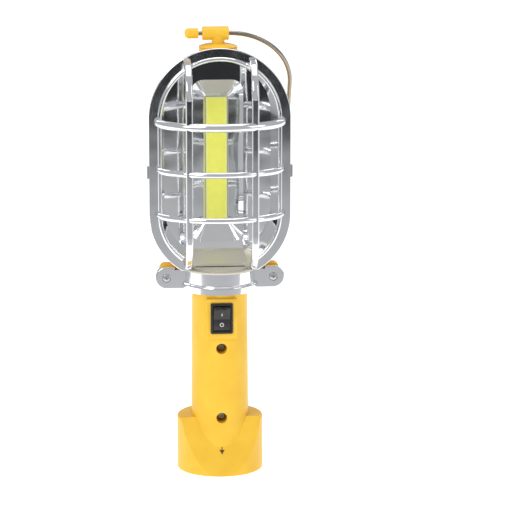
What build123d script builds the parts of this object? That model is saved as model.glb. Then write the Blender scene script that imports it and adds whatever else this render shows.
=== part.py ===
from build123d import *
import os
from math import atan, cos, degrees, radians, sin, sqrt, tan

# Battery work light: a caged strip lamp on a round grip, with a magnetic foot and a folding wire hook.
# Frame: origin at the centre of the foot's underside, +Z up, the lamp faces -Y, the grip's axis is Z.

os.makedirs("parts", exist_ok=True)

# Foot and grip
foot_radius = 29.0
foot_height = 37.0
facet_top_y = 10.0  # how far forward the slanted front facet starts, at the top of the foot
facet_foot_y = 28.5  # and where it ends, on the floor
grip_radius = 19.4  # at the foot
neck_radius = 18.7  # under the collar
grip_top = 124.4
grip_wall = 1.5  # at the narrowest place
foot_wall = 2.2
edge_round = 1.5
foot_edge_round = 0.8

# Head, seen from the front: a half-round arch, straight sides and two lower corners
head_radius = 47.5
arch_z = 240.5
head_bottom = 138.0
corner_x = 3.1  # centre of each lower corner
corner_sweep = 58.86  # degrees that each corner turns, from the side to the foot
head_front = -6.0
head_back = 35.5
head_wall = 2.2
head_back_round = 15.0
head_taper = 8.0  # how much the back shell narrows on each side, from the rim to the back
head_foot_rise = 4.0  # and how much its underside rises

# Collar and neck joint
collar_wall = 5.3  # from the grip's neck to the outside of the collar
collar_lip = 2.0
collar_bottom = 124.5
collar_lip_top = 130.0
flange_lip = 1.9  # how far the grip's locking flange stands out, inside the collar
flange_bottom = 133.0
flange_top = 136.0
neck_gap = 0.2
ear_x = 36.0
ear_z = 132.5
ear_radius = 7.6
ear_notch = 5.5  # the strap between the ears is cut level up to this far inside each ear
ear_depth = 5.0
lug_depth = 8.0
lug_floor = 1.5  # left behind each ear screw's bore
ear_round = 0.8

# Guard
rim_width = 6.2
rim_depth = 1.6
rim_round = 0.6
rod_radius = 1.5
rod_inset = 7.3
hoop_inset = 6.2  # the hoops end this far inside the rim's edge
hoop_depth = 28.4
hoop_side_radius = 22.0
hoop_heights = {"lower": 177.0, "middle": 207.5, "upper": 239.0}
hoop_radii = {"lower": 2.1, "middle": 2.1, "upper": 2.8}
bar_x = 21.8
bar_width = 4.8
bar_depth = 4.0
bar_round = 1.3
bar_top_z = 279.6
bar_bottom_z = 141.2

# Reflector and lamp strip
reflector_wall = 1.5
bowl_depth = 23.0
bowl_inset = 7.0
bowl_taper = 4.5  # how much the bowl narrows on each side, from mouth to back
bowl_foot_z = 142.0
trough_z = 208.0
trough_width = 35.0
trough_height = 111.0
trough_depth = 10.0
trough_round = 8.0
strip_width = 14.2
strip_height = 85.0
strip_round = 0.8
strip_gap = 0.3
strip_thickness = 0.7
board_thickness = 1.2
sink_thickness = 1.5

# Switch
switch_z = 107.8
pad_width = 21.2
pad_height = 27.4
pad_drop = 0.6  # the pad's middle is this much lower than the switch
pad_rise = 1.9  # the pad stands out this far in front of the neck
pad_round = 0.9
bezel_width = 15.0
bezel_height = 21.0
bezel_thickness = 1.4
bezel_round = 1.0
bezel_chamfer = 0.4
switch_width = 13.0
switch_height = 19.0
switch_back = 8.5
rocker_tilt = 11.0

# Battery bay: three cells side by side, 10.5 mm across and 44.5 mm long
cell_radius = 5.25
cell_length = 44.5
cell_y = 5.0
bay_rise = 2.0  # the bay's floor is this far above the foot
spring_length = 6.0
contact_thickness = 0.5
door_half_width = 16.5
door_gap = 0.3
bay_wall = 1.5

# Screws
screw_radius = 1.3
screw_head_radius = 2.9
lower_screw_rise = 1.4  # from the foot's top edge up to the lower screw
upper_screw_height = 86.3
grip_screw_heights = (foot_height + lower_screw_rise, upper_screw_height)
grip_recess_radius = 3.65
grip_joint_y = 9.5  # where the front boss meets the rear post

# Magnet and foot cover
cover_bottom = 0.5
cover_top = 3.0
cup_radius = 16.0
cup_height = 6.5
cup_wall = 1.6
foot_screw_circle = 23.0

# Swivel and hook
swivel_y = 7.5
seat_radius = 12.9
seat_clear = 1.1  # the shell is cut away this far round the tee's flange
seat_pocket_radius = 7.0  # room for the washer, under the seat
seat_top = 286.9
seat_bottom = 284.3
seat_root = 279.0  # the seat joins the sloping shell above this height
swivel_gap = 0.2
spigot_radius = 3.45
stem_radius = 4.3
fit_gap = 0.05  # running clearance of the swivel spigot, the hook wire and the rocker pins
barrel_z = 296.2
barrel_radius = 4.5
barrel_left = -10.7
barrel_right = 7.0
barrel_round = 0.6
wire_radius = 1.5
hook_lean = 30.0  # the folded hook leans back this far from straight down
hook_bend = 42.5
hook_shank_x = 50.0
hook_length = 126.8
crook_radius = 39.8
knob_radius = 3.4
knob_length = 9.1
knob_gap = 2.6
knob_round_share = 0.8  # of the knob's radius

# Values worked out from the dimensions above
corner_radius = head_radius - corner_x
corner_z = head_bottom + corner_radius * sin(radians(corner_sweep))
grip_wall_inner = min(grip_radius, neck_radius) - grip_wall
collar_radius = neck_radius + collar_wall
collar_lip_radius = collar_radius + collar_lip
flange_radius = neck_radius + flange_lip
hoop_half_width = head_radius - hoop_inset
pad_front = neck_radius + pad_rise
bay_bottom = foot_height + bay_rise
rim_front = head_front - rim_depth
bowl_back = head_front + bowl_depth
trough_back = bowl_back + trough_depth
bay_top = bay_bottom + cell_length + spring_length + 2 * contact_thickness
bay_height = bay_top - bay_bottom
bezel_front = pad_front + bezel_thickness


# The head's outline moved in by one amount, cut off level at foot_z, in front-view coordinates
def head_outline(inset, foot_z):
    top = head_radius - inset
    low = corner_radius - inset
    foot_x = corner_x + sqrt(low**2 - (corner_z - foot_z) ** 2)
    sweep_angle = degrees(atan((corner_z - foot_z) / (foot_x - corner_x)))
    with BuildSketch() as outline:
        with BuildLine():
            CenterArc((0, arch_z), top, 0, 180)
            Line((-top, arch_z), (-top, corner_z))
            CenterArc((-corner_x, corner_z), low, 180, sweep_angle)
            Line((-foot_x, foot_z), (foot_x, foot_z))
            CenterArc((corner_x, corner_z), low, 360 - sweep_angle, sweep_angle)
            Line((top, corner_z), (top, arch_z))
        make_face()
    return outline.sketch


# A vertical plane facing forward at the given y
def front_plane(y):
    return Plane.XZ.offset(-y)


facet_rise = Vector(0, -foot_height, facet_foot_y - facet_top_y)
facet_plane = Plane(origin=(0, -facet_top_y, foot_height), z_dir=facet_rise)

# Outer form of the grip and foot, shared by both half shells and the battery door
with BuildPart() as grip_form:
    with BuildSketch():
        Circle(foot_radius)
    extrude(amount=foot_height)
    fillet(grip_form.edges().group_by(Axis.Z)[-1], edge_round)
    fillet(grip_form.edges().group_by(Axis.Z)[0], foot_edge_round)
    split(bisect_by=facet_plane, keep=Keep.BOTTOM)
    with BuildSketch(Plane.XZ):
        with BuildLine():
            Polyline(
                (0, 0),
                (grip_radius, 0),
                (grip_radius, foot_height),
                (neck_radius, grip_top),
                (neck_radius, flange_bottom),
                (flange_radius, flange_bottom),
                (flange_radius, flange_top),
                (0, flange_top),
                close=True,
            )
        make_face()
    revolve(axis=Axis.Z)

# The hollow inside the grip and the foot, open at the top and at the floor
with BuildPart() as grip_hollow:
    with BuildSketch():
        Circle(foot_radius - foot_wall)
    extrude(amount=foot_height - foot_wall)
    split(bisect_by=facet_plane.offset(-foot_wall), keep=Keep.BOTTOM)
    with BuildSketch():
        Circle(grip_wall_inner)
    extrude(amount=flange_top)

# Places of the foot screws: one behind, two in front
foot_screw_angles = (90, 210, 330)
foot_screw_places = [
    (foot_screw_circle * cos(radians(a)), foot_screw_circle * sin(radians(a))) for a in foot_screw_angles
]
foot_boss_radius = 4.0
foot_boss_top = 16.0
grip_boss_radius = 5.0
grip_post_radius = 3.5
grip_seat = 1.6  # plastic under each grip screw's head
screw_clearance = 0.2

# Front half of the grip, with the switch pad and two recessed screw bosses
with BuildPart() as handle_front_shell:
    add(grip_form.part)
    with BuildSketch(front_plane(-grip_joint_y)):
        with Locations((0, switch_z - pad_drop)):
            RectangleRounded(pad_width, pad_height, edge_round)
    extrude(amount=pad_front - grip_joint_y)
    fillet(handle_front_shell.faces().sort_by(Axis.Y)[0].edges(), pad_round)
    split(bisect_by=Plane.XZ, keep=Keep.TOP)
    add(grip_hollow.part, mode=Mode.SUBTRACT)
    with BuildSketch(front_plane(-grip_joint_y)):
        with Locations(*[(0, z) for z in grip_screw_heights]):
            Circle(grip_boss_radius)
    extrude(amount=grip_wall_inner - grip_joint_y)
    with BuildSketch(Plane.XY.offset(cover_top)):
        with Locations(*foot_screw_places[1:]):
            Circle(foot_boss_radius)
    extrude(amount=foot_boss_top - cover_top)
    with BuildSketch(Plane.XY.offset(cover_top)):
        with Locations(*foot_screw_places[1:]):
            Circle(screw_radius)
    extrude(amount=foot_boss_top - cover_top - foot_wall, mode=Mode.SUBTRACT)
    with BuildSketch(front_plane(-grip_joint_y)):
        with Locations(*[(0, z) for z in grip_screw_heights]):
            Circle(screw_radius + screw_clearance)
    extrude(amount=grip_seat, mode=Mode.SUBTRACT)
    with BuildSketch(front_plane(-grip_joint_y - grip_seat)):
        with Locations(*[(0, z) for z in grip_screw_heights]):
            Circle(grip_recess_radius)
    extrude(amount=foot_radius, mode=Mode.SUBTRACT)
    with BuildSketch(front_plane(-switch_back)):
        with Locations((0, switch_z)):
            Rectangle(switch_width + 2 * neck_gap, switch_height + 2 * neck_gap)
    extrude(amount=foot_radius, mode=Mode.SUBTRACT)
handle_front_shell.part.label = "handle_front_shell"
export_step(handle_front_shell.part, "parts/handle_front_shell.step")

bay_back_y = -0.5  # inner face of the bay's front wall
bay_front_y = bay_back_y - bay_wall
bay_clear = 0.3  # between the bay and the front shell
bay_side_x = 15.8
bay_side_y = 3.0
board_y = 9.0
board_post_radius = 2.0
board_rise = 18.0  # the board's middle is this far above the bay
board_z = bay_top + bay_wall + board_rise
board_post_reach = 11.0
board_post_heights = (board_z - board_post_reach, board_z + board_post_reach)
board_back = board_y + 1.6

# Rear half of the grip, with the battery bay, the screw posts and the board posts
with BuildPart() as handle_rear_shell:
    add(grip_form.part)
    split(bisect_by=Plane.XZ, keep=Keep.BOTTOM)
    add(grip_hollow.part, mode=Mode.SUBTRACT)
    with BuildSketch(Plane.XY.offset(bay_bottom - bay_wall)):
        Circle(grip_wall_inner + bay_clear)
        with Locations((0, -grip_radius)):
            Rectangle(4 * grip_radius, 2 * grip_radius, mode=Mode.SUBTRACT)
    extrude(amount=bay_height + 2 * bay_wall)
    with BuildSketch(Plane.XY.offset(bay_bottom - bay_wall)):
        Circle(grip_wall_inner - bay_clear)
        with Locations((0, bay_front_y - grip_radius), (0, grip_radius)):
            Rectangle(4 * grip_radius, 2 * grip_radius, mode=Mode.SUBTRACT)
    extrude(amount=bay_height + 2 * bay_wall)
    with BuildSketch(Plane.XY.offset(bay_bottom)):
        Circle(grip_wall_inner)
        with Locations((0, bay_side_y - grip_radius)):
            Rectangle(4 * grip_radius, 2 * grip_radius, mode=Mode.SUBTRACT)
        with Locations((0, (bay_back_y + bay_side_y) / 2)):
            Rectangle(2 * bay_side_x, bay_side_y - bay_back_y)
    extrude(amount=bay_height, mode=Mode.SUBTRACT)
    with BuildSketch(Plane.XY.offset(bay_bottom - bay_wall + door_gap)):
        with Locations((0, foot_radius)):
            Rectangle(2 * door_half_width, 2 * (foot_radius - bay_side_y))
        Circle(grip_wall_inner, mode=Mode.SUBTRACT)
    extrude(amount=bay_height + 2 * (bay_wall - door_gap), mode=Mode.SUBTRACT)
    with BuildSketch(front_plane(bay_front_y)):
        with Locations(*[(0, z) for z in grip_screw_heights]):
            Circle(grip_post_radius)
    extrude(amount=grip_joint_y + bay_front_y)
    with BuildSketch(front_plane(bay_front_y)):
        with Locations(*[(0, z) for z in grip_screw_heights]):
            Circle(screw_radius)
    extrude(amount=grip_joint_y + bay_front_y, mode=Mode.SUBTRACT)
    with BuildSketch(front_plane(grip_wall_inner)):
        with Locations(*[(0, z) for z in board_post_heights]):
            Circle(board_post_radius)
    extrude(amount=grip_wall_inner - board_back)
    with BuildSketch(Plane.XY.offset(cover_top)):
        with Locations(foot_screw_places[0]):
            Circle(foot_boss_radius)
    extrude(amount=foot_boss_top - cover_top)
    with BuildSketch(Plane.XY.offset(cover_top)):
        with Locations(foot_screw_places[0]):
            Circle(screw_radius)
    extrude(amount=foot_boss_top - cover_top - foot_wall, mode=Mode.SUBTRACT)
handle_rear_shell.part.label = "handle_rear_shell"
export_step(handle_rear_shell.part, "parts/handle_rear_shell.step")

dent_radius = 14.0
dent_depth = 0.8
dent_z = bay_top - 7.0

# Curved battery door, flush with the grip, with a thumb dent near its top
with BuildPart() as battery_door:
    add(grip_form.part)
    with BuildSketch(Plane.XY.offset(bay_bottom - bay_wall + 2 * door_gap)):
        with Locations((0, foot_radius)):
            Rectangle(2 * (door_half_width - door_gap), 2 * (foot_radius - bay_side_y))
    extrude(amount=bay_height + 2 * (bay_wall - 2 * door_gap), mode=Mode.INTERSECT)
    with BuildSketch(Plane.XY):
        Circle(grip_wall_inner + door_gap)
    extrude(amount=grip_top, mode=Mode.SUBTRACT)
    with Locations((0, neck_radius + dent_radius - dent_depth, dent_z)):
        Sphere(dent_radius, mode=Mode.SUBTRACT)
battery_door.part.label = "battery_door"
export_step(battery_door.part, "parts/battery_door.step")

# Screws that close the grip, driven from the front
grip_screw_length = 8.0
screw_head_height = 1.6
with BuildPart() as handle_screws:
    with BuildSketch(front_plane(-grip_joint_y - grip_seat + grip_screw_length)):
        with Locations(*[(0, z) for z in grip_screw_heights]):
            Circle(screw_radius)
    extrude(amount=grip_screw_length)
    with BuildSketch(front_plane(-grip_joint_y - grip_seat)):
        with Locations(*[(0, z) for z in grip_screw_heights]):
            Circle(screw_head_radius)
    extrude(amount=screw_head_height)
handle_screws.part.label = "handle_screws"
export_step(handle_screws.part, "parts/handle_screws.step")

# Foot cover with the pocket that holds the magnet cup
cover_gap = 0.2
pocket_wall = 2.0
foot_head_radius = 2.6
foot_head_height = 1.3
cover_plane = facet_plane.offset(-foot_wall - cover_gap)
with BuildPart() as base_cover:
    with BuildSketch():
        Circle(foot_radius - foot_wall - cover_gap)
    extrude(amount=cover_top)
    split(bisect_by=cover_plane, keep=Keep.BOTTOM)
    with BuildSketch():
        Circle(cup_radius + pocket_wall)
    extrude(amount=cup_height + pocket_wall)
    with BuildSketch():
        Circle(cup_radius)
    extrude(amount=cup_height, mode=Mode.SUBTRACT)
    with BuildSketch():
        Circle(foot_radius)
        Circle(cup_radius, mode=Mode.SUBTRACT)
    extrude(amount=cover_bottom, mode=Mode.SUBTRACT)
    with BuildSketch():
        with Locations(*foot_screw_places):
            Circle(screw_radius + screw_clearance)
    extrude(amount=cover_top, mode=Mode.SUBTRACT)
    with BuildSketch():
        with Locations(*foot_screw_places):
            Circle(foot_head_radius)
    extrude(amount=cover_bottom + foot_head_height, mode=Mode.SUBTRACT)
base_cover.part.label = "base_cover"
export_step(base_cover.part, "parts/base_cover.step")

# Three screws that hold the foot cover
foot_screw_length = 9.0
with BuildPart() as base_screws:
    with BuildSketch(Plane.XY.offset(cover_bottom)):
        with Locations(*foot_screw_places):
            Circle(foot_head_radius)
    extrude(amount=foot_head_height)
    with BuildSketch(Plane.XY.offset(cover_bottom + foot_head_height)):
        with Locations(*foot_screw_places):
            Circle(screw_radius)
    extrude(amount=foot_screw_length)
base_screws.part.label = "base_screws"
export_step(base_screws.part, "parts/base_screws.step")

# Steel cup that carries the magnet, open downwards
with BuildPart() as magnet_cup:
    with BuildSketch():
        Circle(cup_radius)
    extrude(amount=cup_height)
    with BuildSketch():
        Circle(cup_radius - cup_wall)
    extrude(amount=cup_height - cup_wall, mode=Mode.SUBTRACT)
magnet_cup.part.label = "magnet_cup"
export_step(magnet_cup.part, "parts/magnet_cup.step")

# Disc magnet, flush with the floor
with BuildPart() as base_magnet:
    with BuildSketch():
        Circle(cup_radius - cup_wall - neck_gap)
    extrude(amount=cup_height - cup_wall)
base_magnet.part.label = "base_magnet"
export_step(base_magnet.part, "parts/base_magnet.step")

# Switch housing with its bezel; the rocker's pocket is open to the front
pocket_side = 0.7
pocket_back = 14.0
pin_radius = 1.0
rocker_sink = 1.0  # the pivot is this far behind the pad's face
rocker_pivot_y = rocker_sink - pad_front
with BuildPart() as switch_body:
    with BuildSketch(front_plane(-switch_back)):
        with Locations((0, switch_z)):
            Rectangle(switch_width, switch_height)
    extrude(amount=pad_front - switch_back)
    with BuildSketch(front_plane(-pad_front)):
        with Locations((0, switch_z)):
            RectangleRounded(bezel_width, bezel_height, bezel_round)
    extrude(amount=bezel_thickness)
    chamfer(switch_body.faces().sort_by(Axis.Y)[0].edges(), bezel_chamfer)
    with BuildSketch(front_plane(-pocket_back)):
        with Locations((0, switch_z)):
            Rectangle(switch_width - 2 * pocket_side, switch_height - 2 * pocket_side)
    extrude(amount=bezel_front, mode=Mode.SUBTRACT)
    with BuildSketch(Plane.YZ.offset(-bezel_width / 2)):
        with Locations((rocker_pivot_y, switch_z)):
            Circle(pin_radius + fit_gap)
    extrude(amount=bezel_width, mode=Mode.SUBTRACT)
switch_body.part.label = "switch_body"
export_step(switch_body.part, "parts/switch_body.step")

# Rocker with a shallow V face; at rest its upper end stands out
rocker_half_width = 5.5
rocker_sweep = 8.34
rocker_front = 4.2
rocker_middle = 2.4
rocker_back = 3.0
rocker_end_z = sqrt(rocker_sweep**2 - rocker_front**2)
rocker_back_z = sqrt(rocker_sweep**2 - rocker_back**2)
tilt = radians(rocker_tilt)
rocker_plane = Plane(
    origin=(0, rocker_pivot_y, switch_z),
    x_dir=(0, cos(tilt), sin(tilt)),
    z_dir=(1, 0, 0),
)
with BuildPart() as switch_rocker:
    with BuildSketch(rocker_plane):
        with BuildLine():
            Line((-rocker_front, rocker_end_z), (-rocker_middle, 0))
            Line((-rocker_middle, 0), (-rocker_front, -rocker_end_z))
            ThreePointArc((-rocker_front, -rocker_end_z), (0, -rocker_sweep), (rocker_back, -rocker_back_z))
            Line((rocker_back, -rocker_back_z), (rocker_back, rocker_back_z))
            ThreePointArc((rocker_back, rocker_back_z), (0, rocker_sweep), (-rocker_front, rocker_end_z))
        make_face()
    extrude(amount=rocker_half_width, both=True)
    with BuildSketch(rocker_plane):
        Circle(pin_radius)
    extrude(amount=switch_width / 2 - neck_gap, both=True)
switch_rocker.part.label = "switch_rocker"
export_step(switch_rocker.part, "parts/switch_rocker.step")

# Two solder blades at the back of the switch
blade_width = 4.8
blade_length = 6.0
blade_thickness = 0.8
blade_spacing = 8.0
with BuildPart() as switch_terminals:
    with BuildSketch(front_plane(blade_length - switch_back)):
        with Locations((0, switch_z - blade_spacing / 2), (0, switch_z + blade_spacing / 2)):
            Rectangle(blade_width, blade_thickness)
    extrude(amount=blade_length)
switch_terminals.part.label = "switch_terminals"
export_step(switch_terminals.part, "parts/switch_terminals.step")

# Cells: the outer two stand nub up, the middle one nub down, so they join in series
nub_radius = 2.0
nub_length = 1.0
cell_spacing = 2 * cell_radius
low_end = bay_bottom + contact_thickness + spring_length
cell_places = {
    "battery_left": (-cell_spacing, low_end, 1),
    "battery_centre": (0, bay_top - contact_thickness - spring_length, -1),
    "battery_right": (cell_spacing, low_end, 1),
}
for name, (cell_x, plain_end, way) in cell_places.items():
    with BuildPart() as battery:
        with BuildSketch(Plane.XY.offset(plain_end)):
            with Locations((cell_x, cell_y)):
                Circle(cell_radius)
        extrude(amount=way * (cell_length - nub_length))
        with BuildSketch(Plane.XY.offset(plain_end)):
            with Locations((cell_x, cell_y)):
                Circle(nub_radius)
        extrude(amount=way * cell_length)
    battery.part.label = name
    export_step(battery.part, f"parts/{name}.step")

# Coil springs as plain sleeves, one at each cell's flat end
spring_radius = 3.5
spring_wall = 0.8
spring_places = [
    (-cell_spacing, bay_bottom + contact_thickness),
    (0, bay_top - contact_thickness - spring_length),
    (cell_spacing, bay_bottom + contact_thickness),
]
with BuildPart() as battery_springs:
    for spring_x, spring_z in spring_places:
        with BuildSketch(Plane.XY.offset(spring_z)):
            with Locations((spring_x, cell_y)):
                Circle(spring_radius)
                Circle(spring_radius - spring_wall, mode=Mode.SUBTRACT)
        extrude(amount=spring_length)
battery_springs.part.label = "battery_springs"
export_step(battery_springs.part, "parts/battery_springs.step")

# Contact plates: one across two cells and one single, at each end of the bay
contact_depth = 5.6
contact_gap = 1.0
single_width = cell_spacing - contact_gap
double_width = 2 * cell_spacing - contact_gap
with BuildPart() as battery_contacts:
    for contact_z, side in ((bay_bottom, 1), (bay_top - contact_thickness, -1)):
        with BuildSketch(Plane.XY.offset(contact_z)):
            with Locations((side * cell_spacing, cell_y)):
                Rectangle(single_width, contact_depth)
            with Locations((-side * cell_spacing / 2, cell_y)):
                Rectangle(double_width, contact_depth)
        extrude(amount=contact_thickness)
battery_contacts.part.label = "battery_contacts"
export_step(battery_contacts.part, "parts/battery_contacts.step")

# Small circuit board behind the switch
board_width = 18.0
board_height = 28.0
with BuildPart() as driver_board:
    with BuildSketch(front_plane(board_back)):
        with Locations((0, board_z)):
            Rectangle(board_width, board_height)
    extrude(amount=board_back - board_y)
driver_board.part.label = "driver_board"
export_step(driver_board.part, "parts/driver_board.step")

# Current-limiting resistor lying on the board
resistor_radius = 1.6
resistor_length = 7.0
with BuildPart() as limit_resistor:
    with BuildSketch(Plane.YZ.offset(-resistor_length / 2)):
        with Locations((board_y - resistor_radius, board_z)):
            Circle(resistor_radius)
    extrude(amount=resistor_length)
limit_resistor.part.label = "limit_resistor"
export_step(limit_resistor.part, "parts/limit_resistor.step")

# Two leads from the board, up through the neck, to the foot of the lamp board
lead_radius = 0.8
lead_y = 12.5
lead_end_y = trough_back - lead_radius
lead_bottom = 112.0
lead_turn = 133.0
lead_high = 156.0
lead_clear = 4.5  # between the leads' ends and the glowing strip
lead_top = trough_z - strip_height / 2 - lead_clear
lead_bend = 6.0
for name, lead_x in (("lead_red", -4.0), ("lead_black", 4.0)):
    with BuildPart() as lead:
        with BuildLine() as lead_path:
            FilletPolyline(
                (lead_x, lead_y, lead_bottom),
                (lead_x, lead_y, lead_turn),
                (lead_x, lead_end_y, lead_high),
                (lead_x, lead_end_y, lead_top),
                radius=lead_bend,
            )
        with BuildSketch(Plane.XY.offset(lead_bottom)):
            with Locations((lead_x, lead_y)):
                Circle(lead_radius)
        sweep()
    lead.part.label = name
    export_step(lead.part, f"parts/{name}.step")

# Aluminium board of the lamp strip, closing the trough from behind
strip_board_margin = 5.0
with BuildPart() as cob_board:
    with BuildSketch(front_plane(trough_back + board_thickness)):
        with Locations((0, trough_z)):
            Rectangle(strip_width + strip_board_margin, strip_height + 2 * strip_board_margin)
    extrude(amount=board_thickness)
cob_board.part.label = "cob_board"
export_step(cob_board.part, "parts/cob_board.step")

# Glowing phosphor strip, standing in the window at the bottom of the trough
with BuildPart() as cob_phosphor:
    with BuildSketch(front_plane(trough_back)):
        with Locations((0, trough_z)):
            RectangleRounded(strip_width, strip_height, strip_round)
    extrude(amount=strip_thickness)
cob_phosphor.part.label = "cob_phosphor"
export_step(cob_phosphor.part, "parts/cob_phosphor.step")

# Heat sink plate behind the board, held by two screws to bosses of the back shell
sink_width = 30.0
sink_edge = 3.2  # from each screw's centre to the end of the plate
sink_head_radius = 2.4
sink_head_clear = 0.4
sink_front = trough_back + board_thickness
sink_back = sink_front + sink_thickness
sink_screw_reach = strip_height / 2 + strip_board_margin + sink_head_radius + sink_head_clear
sink_height = 2 * (sink_screw_reach + sink_edge)
sink_screw_places = [(0, trough_z - sink_screw_reach), (0, trough_z + sink_screw_reach)]
with BuildPart() as heat_sink_plate:
    with BuildSketch(front_plane(sink_back)):
        with Locations((0, trough_z)):
            Rectangle(sink_width, sink_height)
        with Locations(*sink_screw_places):
            Circle(screw_radius + screw_clearance, mode=Mode.SUBTRACT)
    extrude(amount=sink_thickness)
heat_sink_plate.part.label = "heat_sink_plate"
export_step(heat_sink_plate.part, "parts/heat_sink_plate.step")

# Screws of the heat sink plate
with BuildPart() as plate_screws:
    with BuildSketch(front_plane(sink_front)):
        with Locations(*sink_screw_places):
            Circle(sink_head_radius)
    extrude(amount=board_thickness)
    with BuildSketch(front_plane(head_back - head_wall)):
        with Locations(*sink_screw_places):
            Circle(screw_radius)
    extrude(amount=head_back - head_wall - sink_front)
plate_screws.part.label = "plate_screws"
export_step(plate_screws.part, "parts/plate_screws.step")

# Mirror reflector: a flange behind the guard's rim, a tapered bowl and a bevelled trough
flange_inset = head_wall + 0.3
flange_thickness = 1.4
window_width = strip_width + 2 * strip_gap
window_height = strip_height + 2 * strip_gap
window_round = 1.0
with BuildPart() as reflector:
    with BuildSketch(front_plane(head_front + flange_thickness)):
        add(head_outline(flange_inset, head_bottom + flange_inset))
    extrude(amount=flange_thickness)
    with BuildSketch(front_plane(head_front)):
        add(head_outline(bowl_inset - reflector_wall, bowl_foot_z - reflector_wall))
    with BuildSketch(front_plane(bowl_back + reflector_wall)):
        add(head_outline(bowl_inset + bowl_taper - reflector_wall, bowl_foot_z + bowl_taper - reflector_wall))
    loft(ruled=True)
    with BuildSketch(front_plane(head_front)):
        add(head_outline(bowl_inset, bowl_foot_z))
    with BuildSketch(front_plane(bowl_back)):
        add(head_outline(bowl_inset + bowl_taper, bowl_foot_z + bowl_taper))
    loft(ruled=True, mode=Mode.SUBTRACT)
    with BuildSketch(front_plane(bowl_back)):
        with Locations((0, trough_z)):
            RectangleRounded(
                trough_width + 2 * reflector_wall,
                trough_height + 2 * reflector_wall,
                trough_round + reflector_wall,
            )
    with BuildSketch(front_plane(trough_back)):
        with Locations((0, trough_z)):
            RectangleRounded(
                window_width + 2 * reflector_wall,
                window_height + 2 * reflector_wall,
                window_round + reflector_wall,
            )
    loft(ruled=True)
    with BuildSketch(front_plane(bowl_back)):
        with Locations((0, trough_z)):
            RectangleRounded(trough_width, trough_height, trough_round)
    with BuildSketch(front_plane(trough_back)):
        with Locations((0, trough_z)):
            RectangleRounded(window_width, window_height, window_round)
    loft(ruled=True, mode=Mode.SUBTRACT)
reflector.part.label = "reflector"
export_step(reflector.part, "parts/reflector.step")

# The hollow inside the head's back shell
with BuildPart() as head_hollow:
    with BuildSketch(front_plane(head_front)):
        add(head_outline(head_wall, head_bottom + head_wall))
    with BuildSketch(front_plane(head_back - head_wall)):
        add(head_outline(head_taper + head_wall, head_bottom + head_foot_rise + head_wall))
    loft(ruled=True)
    fillet(head_hollow.faces().sort_by(Axis.Y)[-1].edges(), head_back_round - head_wall)

# Yellow back of the head: a deep rounded shell, half the neck ring, two lugs and the swivel seat
lug_bottom = 126.0
lug_top = 141.1
lug_x = 40.5
lug_round = 4.0
neck_ring_top = head_bottom + head_foot_rise + head_wall
with BuildPart() as head_back_shell:
    with BuildSketch(front_plane(head_front)):
        add(head_outline(0, head_bottom))
    with BuildSketch(front_plane(head_back)):
        add(head_outline(head_taper, head_bottom + head_foot_rise))
    loft(ruled=True)
    fillet(head_back_shell.faces().sort_by(Axis.Y)[-1].edges(), head_back_round)
    with BuildSketch(Plane.XY.offset(collar_bottom)):
        Circle(collar_radius)
        with Locations((0, -collar_radius)):
            Rectangle(4 * collar_radius, 2 * collar_radius, mode=Mode.SUBTRACT)
    extrude(amount=neck_ring_top - collar_bottom)
    with BuildSketch(Plane.XY.offset(collar_bottom)):
        Circle(collar_lip_radius)
        with Locations((0, -collar_radius)):
            Rectangle(4 * collar_radius, 2 * collar_radius, mode=Mode.SUBTRACT)
    extrude(amount=collar_lip_top - collar_bottom)
    with BuildSketch(Plane.XZ):
        with Locations((0, (lug_bottom + lug_top) / 2)):
            RectangleRounded(2 * lug_x, lug_top - lug_bottom, lug_round)
    extrude(amount=-lug_depth)
    with BuildSketch(Plane.XY.offset(seat_root)):
        with Locations((0, swivel_y)):
            Circle(seat_radius)
    extrude(amount=seat_top - seat_root)
    with BuildSketch(Plane.XY.offset(seat_top)):
        with Locations((0, swivel_y)):
            Circle(seat_radius + seat_clear)
    extrude(amount=head_wall, mode=Mode.SUBTRACT)
    add(head_hollow.part, mode=Mode.SUBTRACT)
    with BuildSketch():
        Circle(neck_radius + neck_gap)
    extrude(amount=flange_bottom, mode=Mode.SUBTRACT)
    with BuildSketch(Plane.XY.offset(flange_bottom)):
        Circle(flange_radius + neck_gap)
    extrude(amount=neck_ring_top + head_wall - flange_bottom, mode=Mode.SUBTRACT)
    with BuildSketch(Plane.XZ):
        with Locations((-ear_x, ear_z), (ear_x, ear_z)):
            Circle(screw_radius)
    extrude(amount=-(lug_depth - lug_floor), mode=Mode.SUBTRACT)
    with BuildSketch(Plane.XY.offset(seat_root)):
        with Locations((0, swivel_y)):
            Circle(seat_pocket_radius)
    extrude(amount=seat_bottom - seat_root, mode=Mode.SUBTRACT)
    with BuildSketch(Plane.XY.offset(seat_bottom)):
        with Locations((0, swivel_y)):
            Circle(spigot_radius + fit_gap)
    extrude(amount=seat_top - seat_bottom, mode=Mode.SUBTRACT)
    with BuildSketch(front_plane(head_back - head_wall)):
        with Locations(*sink_screw_places):
            Circle(grip_post_radius)
            Circle(screw_radius, mode=Mode.SUBTRACT)
    extrude(amount=head_back - head_wall - sink_back)
head_back_shell.part.label = "head_back_shell"
export_step(head_back_shell.part, "parts/head_back_shell.step")

# Chrome front half of the collar, with an ear and a screw recess on each side
ear_recess_radius = 3.0
ear_recess_depth = 2.0
with BuildPart() as collar_body:
    with BuildSketch(Plane.XY.offset(collar_bottom)):
        Circle(collar_lip_radius)
    extrude(amount=collar_lip_top - collar_bottom)
    fillet(collar_body.edges().group_by(Axis.Z)[-1], edge_round)
    with BuildSketch(Plane.XY.offset(collar_bottom)):
        Circle(collar_radius)
    extrude(amount=head_bottom - collar_bottom)
    split(bisect_by=Plane.XZ, keep=Keep.TOP)

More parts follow.
